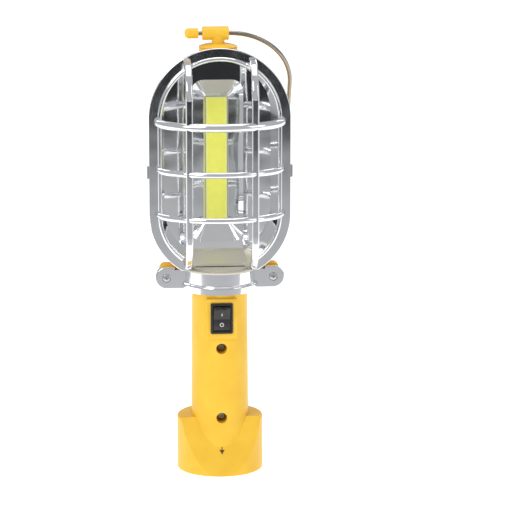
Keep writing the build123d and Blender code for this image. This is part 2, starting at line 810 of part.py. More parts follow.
with BuildPart() as guard_collar:
    with BuildSketch(Plane.XZ):
        with Locations((0, ear_z)):
            SlotCenterToCenter(2 * ear_x, 2 * ear_radius)
    extrude(amount=ear_depth)
    fillet(guard_collar.faces().sort_by(Axis.Y)[0].edges(), ear_round)
    with BuildSketch(Plane.XZ):
        with Locations((0, head_bottom + ear_radius)):
            Rectangle(2 * (ear_x - ear_notch), 2 * ear_radius)
    extrude(amount=ear_depth, mode=Mode.SUBTRACT)
    add(collar_body.part)
    with BuildSketch(Plane.XY.offset(collar_bottom - ear_radius)):
        Circle(neck_radius + neck_gap)
    extrude(amount=flange_bottom - collar_bottom + ear_radius, mode=Mode.SUBTRACT)
    with BuildSketch(Plane.XY.offset(flange_bottom)):
        Circle(flange_radius + neck_gap)
    extrude(amount=head_bottom - flange_bottom, mode=Mode.SUBTRACT)
    with BuildSketch(Plane.XZ):
        with Locations((-ear_x, ear_z), (ear_x, ear_z)):
            Circle(screw_radius + screw_clearance)
    extrude(amount=ear_depth, mode=Mode.SUBTRACT)
    with BuildSketch(front_plane(ear_recess_depth - ear_depth)):
        with Locations((-ear_x, ear_z), (ear_x, ear_z)):
            Circle(ear_recess_radius)
    extrude(amount=ear_recess_depth, mode=Mode.SUBTRACT)
guard_collar.part.label = "guard_collar"
export_step(guard_collar.part, "parts/guard_collar.step")

# Screws through the ears into the lugs
clamp_head_radius = 2.6
clamp_head_height = 1.6
clamp_screw_length = 9.0
with BuildPart() as clamp_screws:
    with BuildSketch(front_plane(ear_recess_depth - ear_depth)):
        with Locations((-ear_x, ear_z), (ear_x, ear_z)):
            Circle(clamp_head_radius)
    extrude(amount=clamp_head_height)
    with BuildSketch(front_plane(ear_recess_depth - ear_depth + clamp_screw_length)):
        with Locations((-ear_x, ear_z), (ear_x, ear_z)):
            Circle(screw_radius)
    extrude(amount=clamp_screw_length)
clamp_screws.part.label = "clamp_screws"
export_step(clamp_screws.part, "parts/clamp_screws.step")

# Stepped floor that closes the collar in front of the reflector
floor_step = 1.1
floor_step_inset = 1.5  # inside the front bars' centre lines
floor_step_radius = bar_x - floor_step_inset
with BuildPart() as neck_floor:
    with BuildSketch(Plane.XY.offset(head_bottom)):
        Circle(collar_radius)
    extrude(amount=floor_step)
    with BuildSketch(Plane.XY.offset(head_bottom + floor_step)):
        Circle(floor_step_radius)
    extrude(amount=floor_step)
    split(bisect_by=front_plane(rim_front), keep=Keep.TOP)
neck_floor.part.label = "neck_floor"
export_step(neck_floor.part, "parts/neck_floor.step")

# Guard rim: a flat ring round the reflector with a round rod on its inner edge
rod_low = corner_radius - rod_inset
rod_foot_z = 146.0
rod_angle = degrees(atan((corner_z - rod_foot_z) / sqrt(rod_low**2 - (corner_z - rod_foot_z) ** 2)))
rod_side = head_radius - rod_inset
rod_y = head_front - rod_radius
with BuildPart() as guard_rim:
    with BuildSketch(front_plane(head_front)):
        add(head_outline(0, head_bottom))
        add(head_outline(rim_width, head_bottom + head_wall), mode=Mode.SUBTRACT)
    extrude(amount=rim_depth)
    fillet(guard_rim.faces().sort_by(Axis.Y)[0].outer_wire().edges(), rim_round)
    with BuildLine(front_plane(rod_y)) as rod_path:
        CenterArc((corner_x, corner_z), rod_low, 360 - rod_angle, rod_angle)
        Line((rod_side, corner_z), (rod_side, arch_z))
        CenterArc((0, arch_z), rod_side, 0, 180)
        Line((-rod_side, arch_z), (-rod_side, corner_z))
        CenterArc((-corner_x, corner_z), rod_low, 180, rod_angle)
    with BuildSketch(Plane(origin=rod_path.line @ 0, z_dir=rod_path.line % 0)):
        Circle(rod_radius)
    sweep(path=rod_path.line)
guard_rim.part.label = "guard_rim"
export_step(guard_rim.part, "parts/guard_rim.step")

# Hoops: two tight side arcs and one wide front arc, tangent to each other
blend = 90 - 2 * degrees(atan((hoop_depth - hoop_side_radius) / (hoop_half_width - hoop_side_radius)))
hoop_centre_x = hoop_half_width - hoop_side_radius
hoop_centre_y = rim_front + hoop_centre_x * tan(radians(blend))
hoop_front_radius = hoop_side_radius + hoop_centre_x / cos(radians(blend))
hoop_parts = []
for name, hoop_z in hoop_heights.items():
    with BuildPart() as hoop:
        with BuildLine(Plane.XY.offset(hoop_z)) as hoop_path:
            CenterArc((hoop_centre_x, rim_front), hoop_side_radius, 0, -blend)
            CenterArc((0, hoop_centre_y), hoop_front_radius, -blend, 2 * blend - 180)
            CenterArc((-hoop_centre_x, rim_front), hoop_side_radius, blend - 180, -blend)
        with BuildSketch(front_plane(rim_front)):
            with Locations((hoop_half_width, hoop_z)):
                Circle(hoop_radii[name])
        sweep(path=hoop_path.line)
        add(guard_rim.part, mode=Mode.SUBTRACT)
    hoop.part.label = f"guard_hoop_{name}"
    export_step(hoop.part, f"parts/guard_hoop_{name}.step")
    hoop_parts.append(hoop.part)

# Front bars: each is cut out round the hoops that it crosses, and the upper hoop divides it in two
bar_front = hoop_centre_y - sqrt(hoop_front_radius**2 - bar_x**2)
bar_bend = rim_front - bar_front
for name, side in (("left", -1), ("right", 1)):
    with BuildPart() as bar:
        with BuildLine(Plane.YZ.offset(side * bar_x)) as bar_path:
            CenterArc((rim_front, bar_top_z - bar_bend), bar_bend, 90, 90)
            Line((bar_front, bar_top_z - bar_bend), (bar_front, bar_bottom_z + bar_bend))
            CenterArc((rim_front, bar_bottom_z + bar_bend), bar_bend, 180, 90)
        with BuildSketch(front_plane(rim_front)):
            with Locations((side * bar_x, bar_top_z)):
                RectangleRounded(bar_width, bar_depth, bar_round)
        sweep(path=bar_path.line)
        add(hoop_parts, mode=Mode.SUBTRACT)
    bar.part.label = f"guard_bar_{name}"
    export_step(bar.part, f"parts/guard_bar_{name}.step")

# Snap catches that hold the guard to the back shell, one on each side
catch_z = 205.0
catch_height = 8.0
catch_depth = 5.0
catch_thickness = 1.2
with BuildPart() as guard_catches:
    with BuildSketch(front_plane(rim_front + catch_depth)):
        for side in (-1, 1):
            with Locations((side * (head_radius + catch_thickness / 2), catch_z)):
                Rectangle(catch_thickness, catch_height)
    extrude(amount=catch_depth)
guard_catches.part.label = "guard_catches"
export_step(guard_catches.part, "parts/guard_catches.step")

# Swivel tee: lens-shaped flange, stem and cross barrel in one moulding
tee_bottom = seat_top + swivel_gap
tee_flange_top = 289.6
tee_edge = 0.6
washer_top = seat_bottom - swivel_gap
washer_thickness = 1.0
washer_radius = 6.0
swivel_screw_top = 291.1
swivel_head_radius = 3.0
swivel_head_height = 2.0
with BuildPart() as hook_tee:
    with BuildSketch(front_plane(swivel_y)):
        with BuildLine():
            Polyline(
                (stem_radius, tee_flange_top),
                (stem_radius, barrel_z),
                (0, barrel_z),
                (0, washer_top),
                (spigot_radius, washer_top),
                (spigot_radius, tee_bottom),
                (seat_radius, tee_bottom),
                (seat_radius, tee_bottom + tee_edge),
            )
            ThreePointArc(
                (seat_radius, tee_bottom + tee_edge),
                ((seat_radius + stem_radius) / 2, tee_flange_top - tee_edge),
                (stem_radius, tee_flange_top),
            )
        make_face()
    revolve(axis=Axis((0, swivel_y, 0), (0, 0, 1)))
    with BuildSketch(Plane.YZ.offset(barrel_left)):
        with Locations((swivel_y, barrel_z)):
            Circle(barrel_radius)
    extrude(amount=barrel_right - barrel_left)
    fillet(hook_tee.edges().filter_by_position(Axis.X, barrel_left, barrel_left), barrel_round)
    fillet(hook_tee.edges().filter_by_position(Axis.X, barrel_right, barrel_right), barrel_round)
    with BuildSketch(Plane.YZ.offset(barrel_left)):
        with Locations((swivel_y, barrel_z)):
            Circle(wire_radius + fit_gap)
    extrude(amount=barrel_right - barrel_left, mode=Mode.SUBTRACT)
    with BuildSketch(Plane.XY.offset(washer_top)):
        with Locations((0, swivel_y)):
            Circle(screw_radius)
    extrude(amount=swivel_screw_top - washer_top, mode=Mode.SUBTRACT)
hook_tee.part.label = "hook_tee"
export_step(hook_tee.part, "parts/hook_tee.step")

# Washer and screw that hold the tee from inside the head
with BuildPart() as swivel_washer:
    with BuildSketch(Plane.XY.offset(washer_top - washer_thickness)):
        with Locations((0, swivel_y)):
            Circle(washer_radius)
            Circle(screw_radius, mode=Mode.SUBTRACT)
    extrude(amount=washer_thickness)
swivel_washer.part.label = "swivel_washer"
export_step(swivel_washer.part, "parts/swivel_washer.step")

with BuildPart() as swivel_screw:
    with BuildSketch(Plane.XY.offset(washer_top - washer_thickness - swivel_head_height)):
        with Locations((0, swivel_y)):
            Circle(swivel_head_radius)
    extrude(amount=swivel_head_height)
    with BuildSketch(Plane.XY.offset(washer_top - washer_thickness)):
        with Locations((0, swivel_y)):
            Circle(screw_radius)
    extrude(amount=swivel_screw_top - washer_top + washer_thickness)
swivel_screw.part.label = "swivel_screw"
export_step(swivel_screw.part, "parts/swivel_screw.step")

# Hook wire in its folded plane: through the barrel, round one bend, down the shank and into the crook
lean = radians(hook_lean)
hook_plane = Plane(
    origin=(0, swivel_y, barrel_z),
    x_dir=(1, 0, 0),
    z_dir=(0, cos(lean), sin(lean)),
)
knob_right = barrel_left - knob_gap
wire_start = knob_right - knob_length + 2 * wire_radius
bend_x = hook_shank_x - hook_bend
crook_x = hook_shank_x - crook_radius
crook_start = hook_length - crook_radius
with BuildPart() as hook_wire:
    with BuildLine(hook_plane) as wire_path:
        Line((wire_start, 0), (bend_x, 0))
        CenterArc((bend_x, hook_bend), hook_bend, -90, 90)
        Line((hook_shank_x, hook_bend), (hook_shank_x, crook_start))
        CenterArc((crook_x, crook_start), crook_radius, 0, 180)
    with BuildSketch(Plane.YZ.offset(wire_start)):
        with Locations((swivel_y, barrel_z)):
            Circle(wire_radius)
    sweep(path=wire_path.line)
hook_wire.part.label = "hook_wire"
export_step(hook_wire.part, "parts/hook_wire.step")

# Rounded knob on the wire's end, which keeps the wire in the barrel
with BuildPart() as hook_knob:
    with BuildSketch(Plane.YZ.offset(knob_right)):
        with Locations((swivel_y, barrel_z)):
            Circle(knob_radius)
    extrude(amount=-knob_length)
    fillet(hook_knob.edges().group_by(Axis.X)[0], knob_radius * knob_round_share)
    with BuildSketch(Plane.YZ.offset(knob_right)):
        with Locations((swivel_y, barrel_z)):
            Circle(wire_radius)
    extrude(amount=wire_start - knob_right, mode=Mode.SUBTRACT)
hook_knob.part.label = "hook_knob"
export_step(hook_knob.part, "parts/hook_knob.step")
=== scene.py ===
import math
import bpy
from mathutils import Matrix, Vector


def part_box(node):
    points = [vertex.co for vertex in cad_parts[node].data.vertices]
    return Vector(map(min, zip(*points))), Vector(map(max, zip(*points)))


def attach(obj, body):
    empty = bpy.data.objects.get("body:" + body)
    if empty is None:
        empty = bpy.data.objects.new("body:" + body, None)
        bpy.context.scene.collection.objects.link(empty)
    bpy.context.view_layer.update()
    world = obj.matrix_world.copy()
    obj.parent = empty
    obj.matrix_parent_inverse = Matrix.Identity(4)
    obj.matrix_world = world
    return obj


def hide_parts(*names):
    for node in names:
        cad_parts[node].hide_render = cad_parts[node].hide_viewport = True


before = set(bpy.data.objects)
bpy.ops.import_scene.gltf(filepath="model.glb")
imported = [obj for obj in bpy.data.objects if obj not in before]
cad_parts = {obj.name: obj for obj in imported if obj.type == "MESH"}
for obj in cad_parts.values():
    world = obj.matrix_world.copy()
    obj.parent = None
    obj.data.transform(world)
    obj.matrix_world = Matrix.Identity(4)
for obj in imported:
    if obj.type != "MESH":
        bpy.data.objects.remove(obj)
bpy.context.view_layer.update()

print("stage: frame loaded")


# Sockets of a node group, each given as a name, a kind and a starting value
def sockets(group, direction, wanted):
    for label, kind, value in wanted:
        made = group.interface.new_socket(name=label, in_out=direction, socket_type=kind)
        if value is not None:
            made.default_value = value


def startGroup(name, inputs, outputs):
    group = bpy.data.node_groups.new(name, "ShaderNodeTree")
    sockets(group, "INPUT", inputs)
    sockets(group, "OUTPUT", outputs)
    start = group.nodes.new("NodeGroupInput")
    end = group.nodes.new("NodeGroupOutput")
    return group, start, end


def addNode(tree, kind, **settings):
    node = tree.nodes.new(kind)
    for key, value in settings.items():
        setattr(node, key, value)
    return node


def mathNode(tree, operation, first, second=None, clamp=False):
    node = addNode(tree, "ShaderNodeMath", operation=operation, use_clamp=clamp)
    for slot, value in enumerate((first, second)):
        if value is None:
            continue
        if isinstance(value, (int, float)):
            node.inputs[slot].default_value = value
        else:
            tree.links.new(value, node.inputs[slot])
    return node.outputs[0]


def mixColour(tree, factor, first, second, blend="MIX"):
    node = addNode(tree, "ShaderNodeMix", data_type="RGBA", blend_type=blend)
    for slot, value in ((0, factor), (6, first), (7, second)):
        if isinstance(value, (int, float, tuple)):
            node.inputs[slot].default_value = value
        else:
            tree.links.new(value, node.inputs[slot])
    return node.outputs[2]


def noise(tree, vector, scale, detail=3.0, roughness=0.55):
    node = addNode(tree, "ShaderNodeTexNoise")
    node.inputs["Detail"].default_value = detail
    node.inputs["Roughness"].default_value = roughness
    if isinstance(scale, (int, float)):
        node.inputs["Scale"].default_value = scale
    else:
        tree.links.new(scale, node.inputs["Scale"])
    tree.links.new(vector, node.inputs["Vector"])
    return node.outputs["Fac"]


def remap(tree, value, low, high, newLow=0.0, newHigh=1.0):
    node = addNode(tree, "ShaderNodeMapRange")
    tree.links.new(value, node.inputs["Value"])
    for label, number in (("From Min", low), ("From Max", high), ("To Min", newLow), ("To Max", newHigh)):
        node.inputs[label].default_value = number
    return node.outputs["Result"]


# Worn edges: the mask rises where the surface turns sharply, broken by a fine pattern
def makeEdgeWear():
    group, start, end = startGroup(
        "edgeWear",
        [("Radius", "NodeSocketFloat", 0.0006), ("Amount", "NodeSocketFloat", 0.5)],
        [("Mask", "NodeSocketFloat", None)],
    )
    rounded = addNode(group, "ShaderNodeBevel", samples=4)
    group.links.new(start.outputs["Radius"], rounded.inputs["Radius"])
    flat = addNode(group, "ShaderNodeNewGeometry")
    dot = addNode(group, "ShaderNodeVectorMath", operation="DOT_PRODUCT")
    group.links.new(rounded.outputs["Normal"], dot.inputs[0])
    group.links.new(flat.outputs["Normal"], dot.inputs[1])
    turned = remap(group, dot.outputs["Value"], 0.995, 0.86)
    place = addNode(group, "ShaderNodeTexCoord")
    broken = remap(group, noise(group, place.outputs["Object"], 900.0), 0.35, 0.65)
    worn = mathNode(group, "MULTIPLY", turned, broken)
    scaled = mathNode(group, "MULTIPLY", worn, start.outputs["Amount"], clamp=True)
    group.links.new(scaled, end.inputs["Mask"])
    return group


# Moulded skin: a fine texture over a slow unevenness, as one normal, with the fine part as a mask too
def makeMouldedSkin():
    group, start, end = startGroup(
        "mouldedSkin",
        [
            ("Grain Scale", "NodeSocketFloat", 4000.0),
            ("Grain Depth", "NodeSocketFloat", 0.000004),
            ("Sink Depth", "NodeSocketFloat", 0.00006),
        ],
        [("Normal", "NodeSocketVector", None), ("Grain", "NodeSocketFloat", None)],
    )
    place = addNode(group, "ShaderNodeTexCoord")
    grain = noise(group, place.outputs["Object"], start.outputs["Grain Scale"], 2.0)
    slow = noise(group, place.outputs["Object"], 45.0, 1.0, 0.3)
    sink = addNode(group, "ShaderNodeBump")
    sink.inputs["Strength"].default_value = 1.0
    group.links.new(start.outputs["Sink Depth"], sink.inputs["Distance"])
    group.links.new(slow, sink.inputs["Height"])
    skin = addNode(group, "ShaderNodeBump")
    skin.inputs["Strength"].default_value = 1.0
    group.links.new(start.outputs["Grain Depth"], skin.inputs["Distance"])
    group.links.new(grain, skin.inputs["Height"])
    group.links.new(sink.outputs["Normal"], skin.inputs["Normal"])
    group.links.new(skin.outputs["Normal"], end.inputs["Normal"])
    group.links.new(grain, end.inputs["Grain"])
    return group


# Handling marks: broad soft smudges with a few fine scratches, as one mask
def makeHandling():
    group, start, end = startGroup(
        "handlingMarks",
        [("Smudge", "NodeSocketFloat", 0.5), ("Scratches", "NodeSocketFloat", 0.3)],
        [("Mask", "NodeSocketFloat", None)],
    )
    place = addNode(group, "ShaderNodeTexCoord")
    soft = remap(group, noise(group, place.outputs["Object"], 70.0, 4.0), 0.45, 0.75)
    smudge = mathNode(group, "MULTIPLY", soft, start.outputs["Smudge"])
    stretch = addNode(group, "ShaderNodeMapping")
    stretch.inputs["Rotation"].default_value = (0.3, 0.5, 0.4)
    stretch.inputs["Scale"].default_value = (3000.0, 3000.0, 60.0)
    group.links.new(place.outputs["Object"], stretch.inputs["Vector"])
    lines = remap(group, noise(group, stretch.outputs["Vector"], 1.0, 1.0), 0.72, 0.76)
    scratch = mathNode(group, "MULTIPLY", lines, start.outputs["Scratches"])
    both = mathNode(group, "ADD", smudge, scratch, clamp=True)
    group.links.new(both, end.inputs["Mask"])
    return group


# Settled dust: more on faces that look up, broken by a soft pattern
def makeDust():
    group, start, end = startGroup(
        "settledDust",
        [("Amount", "NodeSocketFloat", 0.2)],
        [("Mask", "NodeSocketFloat", None)],
    )
    place = addNode(group, "ShaderNodeTexCoord")
    face = addNode(group, "ShaderNodeNewGeometry")
    split = addNode(group, "ShaderNodeSeparateXYZ")
    group.links.new(face.outputs["Normal"], split.inputs["Vector"])
    upward = remap(group, split.outputs["Z"], 0.2, 1.0)
    pattern = remap(group, noise(group, place.outputs["Object"], 260.0, 5.0, 0.7), 0.4, 0.75)
    lying = mathNode(group, "MULTIPLY", upward, pattern)
    scaled = mathNode(group, "MULTIPLY", lying, start.outputs["Amount"], clamp=True)
    group.links.new(scaled, end.inputs["Mask"])
    return group


edgeWear = makeEdgeWear()
mouldedSkin = makeMouldedSkin()
handlingMarks = makeHandling()
settledDust = makeDust()


def useGroup(tree, group, **values):
    node = addNode(tree, "ShaderNodeGroup", node_tree=group)
    for label, value in values.items():
        node.inputs[label.replace("_", " ")].default_value = value
    return node


def startMaterial(name, metallic=0.0, specular=0.5, coat=0.0, coatRoughness=0.03):
    material = bpy.data.materials.new(name)
    material.use_nodes = True
    shader = material.node_tree.nodes["Principled BSDF"]
    shader.inputs["Metallic"].default_value = metallic
    shader.inputs["Specular IOR Level"].default_value = specular
    shader.inputs["Coat Weight"].default_value = coat
    shader.inputs["Coat Roughness"].default_value = coatRoughness
    return material, material.node_tree, shader


plainSpecular = 0.5
plasticEdge = 0.0005
metalEdge = 0.0004
cloudScale = 60.0
plasticDust = (0.55, 0.53, 0.48, 1.0)
metalDust = (0.5, 0.49, 0.46, 1.0)


# Any moulded plastic: body colour, paler worn edges, fine skin, smudges in the gloss and a little dust
def plasticFinish(name, look):
    material, tree, shader = startMaterial(name, specular=look.get("specular", plainSpecular))
    skin = useGroup(tree, mouldedSkin, Grain_Scale=look["grainScale"], Grain_Depth=look["grainDepth"],
                    Sink_Depth=look["sinkDepth"])
    wear = useGroup(tree, edgeWear, Radius=plasticEdge, Amount=look["wear"])
    marks = useGroup(tree, handlingMarks, Smudge=look["smudge"], Scratches=look["scratches"])
    dust = useGroup(tree, settledDust, Amount=look["dust"])
    place = addNode(tree, "ShaderNodeTexCoord")
    cloud = remap(tree, noise(tree, place.outputs["Object"], cloudScale, 2.0), 0.35, 0.65)
    body = mixColour(tree, cloud, look["colour"], look["shade"])
    speck = mixColour(tree, mathNode(tree, "MULTIPLY", skin.outputs["Grain"], 0.12), body, look["shade"])
    worn = mixColour(tree, wear.outputs["Mask"], speck, look["edge"])
    dusty = mixColour(tree, dust.outputs["Mask"], worn, plasticDust)
    tree.links.new(dusty, shader.inputs["Base Color"])
    rough = mathNode(tree, "ADD", mathNode(tree, "MULTIPLY", marks.outputs["Mask"], 0.14), look["roughness"])
    rougher = mathNode(tree, "ADD", mathNode(tree, "MULTIPLY", dust.outputs["Mask"], 0.3), rough, clamp=True)
    tree.links.new(rougher, shader.inputs["Roughness"])
    tree.links.new(skin.outputs["Normal"], shader.inputs["Normal"])
    return material


# Plating and bare metal: tinted metal, slow waves from the moulding under it, smudges in the gloss
def metalFinish(name, look):
    material, tree, shader = startMaterial(name, metallic=1.0)
    skin = useGroup(tree, mouldedSkin, Grain_Scale=look["grainScale"], Grain_Depth=look["grainDepth"],
                    Sink_Depth=look["sinkDepth"])
    wear = useGroup(tree, edgeWear, Radius=metalEdge, Amount=look["wear"])
    marks = useGroup(tree, handlingMarks, Smudge=look["smudge"], Scratches=look["scratches"])
    dust = useGroup(tree, settledDust, Amount=look["dust"])
    tint = mixColour(tree, marks.outputs["Mask"], look["colour"], look["shade"])
    worn = mixColour(tree, wear.outputs["Mask"], tint, look["edge"])
    dusty = mixColour(tree, dust.outputs["Mask"], worn, metalDust)
    tree.links.new(dusty, shader.inputs["Base Color"])
    bare = mathNode(tree, "SUBTRACT", 1.0, mathNode(tree, "MULTIPLY", dust.outputs["Mask"], 0.8))
    tree.links.new(bare, shader.inputs["Metallic"])
    rough = mathNode(tree, "ADD", mathNode(tree, "MULTIPLY", marks.outputs["Mask"], 0.12), look["roughness"])
    rougher = mathNode(tree, "ADD", mathNode(tree, "MULTIPLY", dust.outputs["Mask"], 0.4), rough, clamp=True)
    tree.links.new(rougher, shader.inputs["Roughness"])
    tree.links.new(skin.outputs["Normal"], shader.inputs["Normal"])
    return material


yellowPlastic = plasticFinish("yellowPlastic", {
    "colour": (0.9, 0.56, 0.045, 1.0), "shade": (0.86, 0.51, 0.036, 1.0), "edge": (0.95, 0.7, 0.16, 1.0),
    "roughness": 0.36, "grainScale": 3200.0, "grainDepth": 0.000005, "sinkDepth": 0.0002,
    "wear": 0.35, "smudge": 0.5, "scratches": 0.2, "dust": 0.12, "specular": 0.32,
})
coverPlastic = plasticFinish("coverPlastic", {
    "colour": (0.86, 0.44, 0.03, 1.0), "shade": (0.8, 0.4, 0.024, 1.0), "edge": (0.95, 0.6, 0.12, 1.0),
    "roughness": 0.5, "grainScale": 2200.0, "grainDepth": 0.000012, "sinkDepth": 0.0001,
    "wear": 0.5, "smudge": 0.6, "scratches": 0.6, "dust": 0.2,
})
blackPlastic = plasticFinish("blackPlastic", {
    "colour": (0.012, 0.012, 0.013, 1.0), "shade": (0.018, 0.018, 0.019, 1.0),
    "edge": (0.09, 0.09, 0.09, 1.0), "roughness": 0.22, "grainScale": 5000.0,
    "grainDepth": 0.000002, "sinkDepth": 0.00004,
    "wear": 0.5, "smudge": 0.5, "scratches": 0.3, "dust": 0.15,
})
guardChrome = metalFinish("guardChrome", {
    "colour": (0.84, 0.85, 0.87, 1.0), "shade": (0.76, 0.77, 0.79, 1.0), "edge": (0.9, 0.9, 0.91, 1.0),
    "roughness": 0.08, "grainScale": 900.0, "grainDepth": 0.000003, "sinkDepth": 0.0002,
    "wear": 0.3, "smudge": 0.5, "scratches": 0.15, "dust": 0.05,
})
wireSteel = metalFinish("wireSteel", {
    "colour": (0.36, 0.33, 0.29, 1.0), "shade": (0.26, 0.235, 0.2, 1.0), "edge": (0.5, 0.47, 0.42, 1.0),
    "roughness": 0.25, "grainScale": 2500.0, "grainDepth": 0.00001, "sinkDepth": 0.0001,
    "wear": 0.2, "smudge": 0.6, "scratches": 0.5, "dust": 0.08,
})
zincSteel = metalFinish("zincSteel", {
    "colour": (0.62, 0.62, 0.6, 1.0), "shade": (0.5, 0.5, 0.47, 1.0), "edge": (0.75, 0.75, 0.73, 1.0),
    "roughness": 0.3, "grainScale": 3000.0, "grainDepth": 0.000008, "sinkDepth": 0.0,
    "wear": 0.6, "smudge": 0.7, "scratches": 0.5, "dust": 0.15,
})
brightNickel = metalFinish("brightNickel", {
    "colour": (0.72, 0.7, 0.66, 1.0), "shade": (0.62, 0.6, 0.56, 1.0), "edge": (0.8, 0.78, 0.75, 1.0),
    "roughness": 0.16, "grainScale": 2400.0, "grainDepth": 0.000004, "sinkDepth": 0.00004,
    "wear": 0.4, "smudge": 0.6, "scratches": 0.6, "dust": 0.1,
})
bareAluminium = metalFinish("bareAluminium", {
    "colour": (0.75, 0.75, 0.75, 1.0), "shade": (0.66, 0.66, 0.66, 1.0), "edge": (0.85, 0.85, 0.85, 1.0),
    "roughness": 0.35, "grainScale": 2600.0, "grainDepth": 0.000008, "sinkDepth": 0.00004,
    "wear": 0.3, "smudge": 0.4, "scratches": 0.6, "dust": 0.1,
})
brassBlade = metalFinish("brassBlade", {
    "colour": (0.72, 0.5, 0.2, 1.0), "shade": (0.55, 0.38, 0.16, 1.0), "edge": (0.85, 0.65, 0.3, 1.0),
    "roughness": 0.25, "grainScale": 2600.0, "grainDepth": 0.000006, "sinkDepth": 0.0,
    "wear": 0.4, "smudge": 0.6, "scratches": 0.5, "dust": 0.1,
})
darkFerrite = plasticFinish("darkFerrite", {
    "colour": (0.045, 0.043, 0.042, 1.0), "shade": (0.07, 0.066, 0.062, 1.0), "edge": (0.16, 0.15, 0.15, 1.0),
    "roughness": 0.55, "grainScale": 1500.0, "grainDepth": 0.00004, "sinkDepth": 0.00005,
    "wear": 0.8, "smudge": 0.6, "scratches": 0.8, "dust": 0.2,
})
boardGreen = plasticFinish("boardGreen", {
    "colour": (0.02, 0.17, 0.06, 1.0), "shade": (0.014, 0.12, 0.045, 1.0), "edge": (0.45, 0.4, 0.22, 1.0),
    "roughness": 0.3, "grainScale": 3000.0, "grainDepth": 0.000006, "sinkDepth": 0.00003,
    "wear": 0.8, "smudge": 0.3, "scratches": 0.1, "dust": 0.1,
})
resistorClay = plasticFinish("resistorClay", {
    "colour": (0.58, 0.47, 0.3, 1.0), "shade": (0.5, 0.4, 0.25, 1.0), "edge": (0.7, 0.6, 0.45, 1.0),
    "roughness": 0.5, "grainScale": 2500.0, "grainDepth": 0.00002, "sinkDepth": 0.00002,
    "wear": 0.2, "smudge": 0.2, "scratches": 0.0, "dust": 0.1,
})
redSleeve = plasticFinish("redSleeve", {
    "colour": (0.55, 0.012, 0.01, 1.0), "shade": (0.42, 0.01, 0.008, 1.0), "edge": (0.7, 0.1, 0.08, 1.0),
    "roughness": 0.42, "grainScale": 3500.0, "grainDepth": 0.000006, "sinkDepth": 0.0,
    "wear": 0.1, "smudge": 0.3, "scratches": 0.0, "dust": 0.1,
})
blackSleeve = plasticFinish("blackSleeve", {
    "colour": (0.015, 0.015, 0.015, 1.0), "shade": (0.025, 0.025, 0.025, 1.0), "edge": (0.1, 0.1, 0.1, 1.0),
    "roughness": 0.45, "grainScale": 3500.0, "grainDepth": 0.000006, "sinkDepth": 0.0,
    "wear": 0.1, "smudge": 0.3, "scratches": 0.0, "dust": 0.1,
})
print("stage: finishes made")


# Phosphor of the lamp strip: soft yellow-green gel in a paler frame, with a fine powdery mottle and a faint
# painted glow
gelStrip = {"border": 0.0008, "groove": 0.0002, "corner": 0.0011}


def makePhosphor():
    material, tree, shader = startMaterial("phosphorGel", specular=0.4, coat=0.3, coatRoughness=0.2)
    low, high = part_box("cob_phosphor")
    place = addNode(tree, "ShaderNodeTexCoord")
    split = addNode(tree, "ShaderNodeSeparateXYZ")
    tree.links.new(place.outputs["Object"], split.inputs["Vector"])
    sides = []
    for axis, near, far in (("X", low[0], high[0]), ("Z", low[2], high[2])):
        offset = mathNode(tree, "SUBTRACT", split.outputs[axis], (near + far) / 2)
        distance = mathNode(tree, "ABSOLUTE", offset)
        reach = (far - near) / 2 - gelStrip["border"]
        sides.append(remap(tree, distance, reach - 0.0001, reach + 0.0001))
    frameMask = mathNode(tree, "MAXIMUM", sides[0], sides[1])
    powder = remap(tree, noise(tree, place.outputs["Object"], 2600.0, 4.0, 0.7), 0.3, 0.7)
    cloud = remap(tree, noise(tree, place.outputs["Object"], 160.0, 2.0), 0.35, 0.65)
    base = mixColour(tree, cloud, (0.93, 0.92, 0.12, 1.0), (0.88, 0.89, 0.1, 1.0))
    mottled = mixColour(tree, mathNode(tree, "MULTIPLY", powder, 0.25), base, (0.95, 0.95, 0.28, 1.0))
    framed = mixColour(tree, frameMask, mottled, (0.86, 0.88, 0.42, 1.0))
    tree.links.new(framed, shader.inputs["Base Color"])
    bump = addNode(tree, "ShaderNodeBump")
    bump.inputs["Distance"].default_value = 0.00002
    tree.links.new(powder, bump.inputs["Height"])
    tree.links.new(bump.outputs["Normal"], shader.inputs["Normal"])
    shader.inputs["Roughness"].default_value = 0.4
    # Painted glow: a faint yellow emission makes the unlit gel give off light of its own
    shader.inputs["Emission Color"].default_value = (0.85, 0.86, 0.2, 1.0)
    shader.inputs["Emission Strength"].default_value = 0.09
    return material


phosphorGel = makePhosphor()


# Shrink sleeve of a cell: dark body, a copper-coloured band at the nub end and a thin pale line between
cellBand = {"width": 0.011, "line": 0.0006, "fade": 0.0001, "bareEnd": 0.0012}


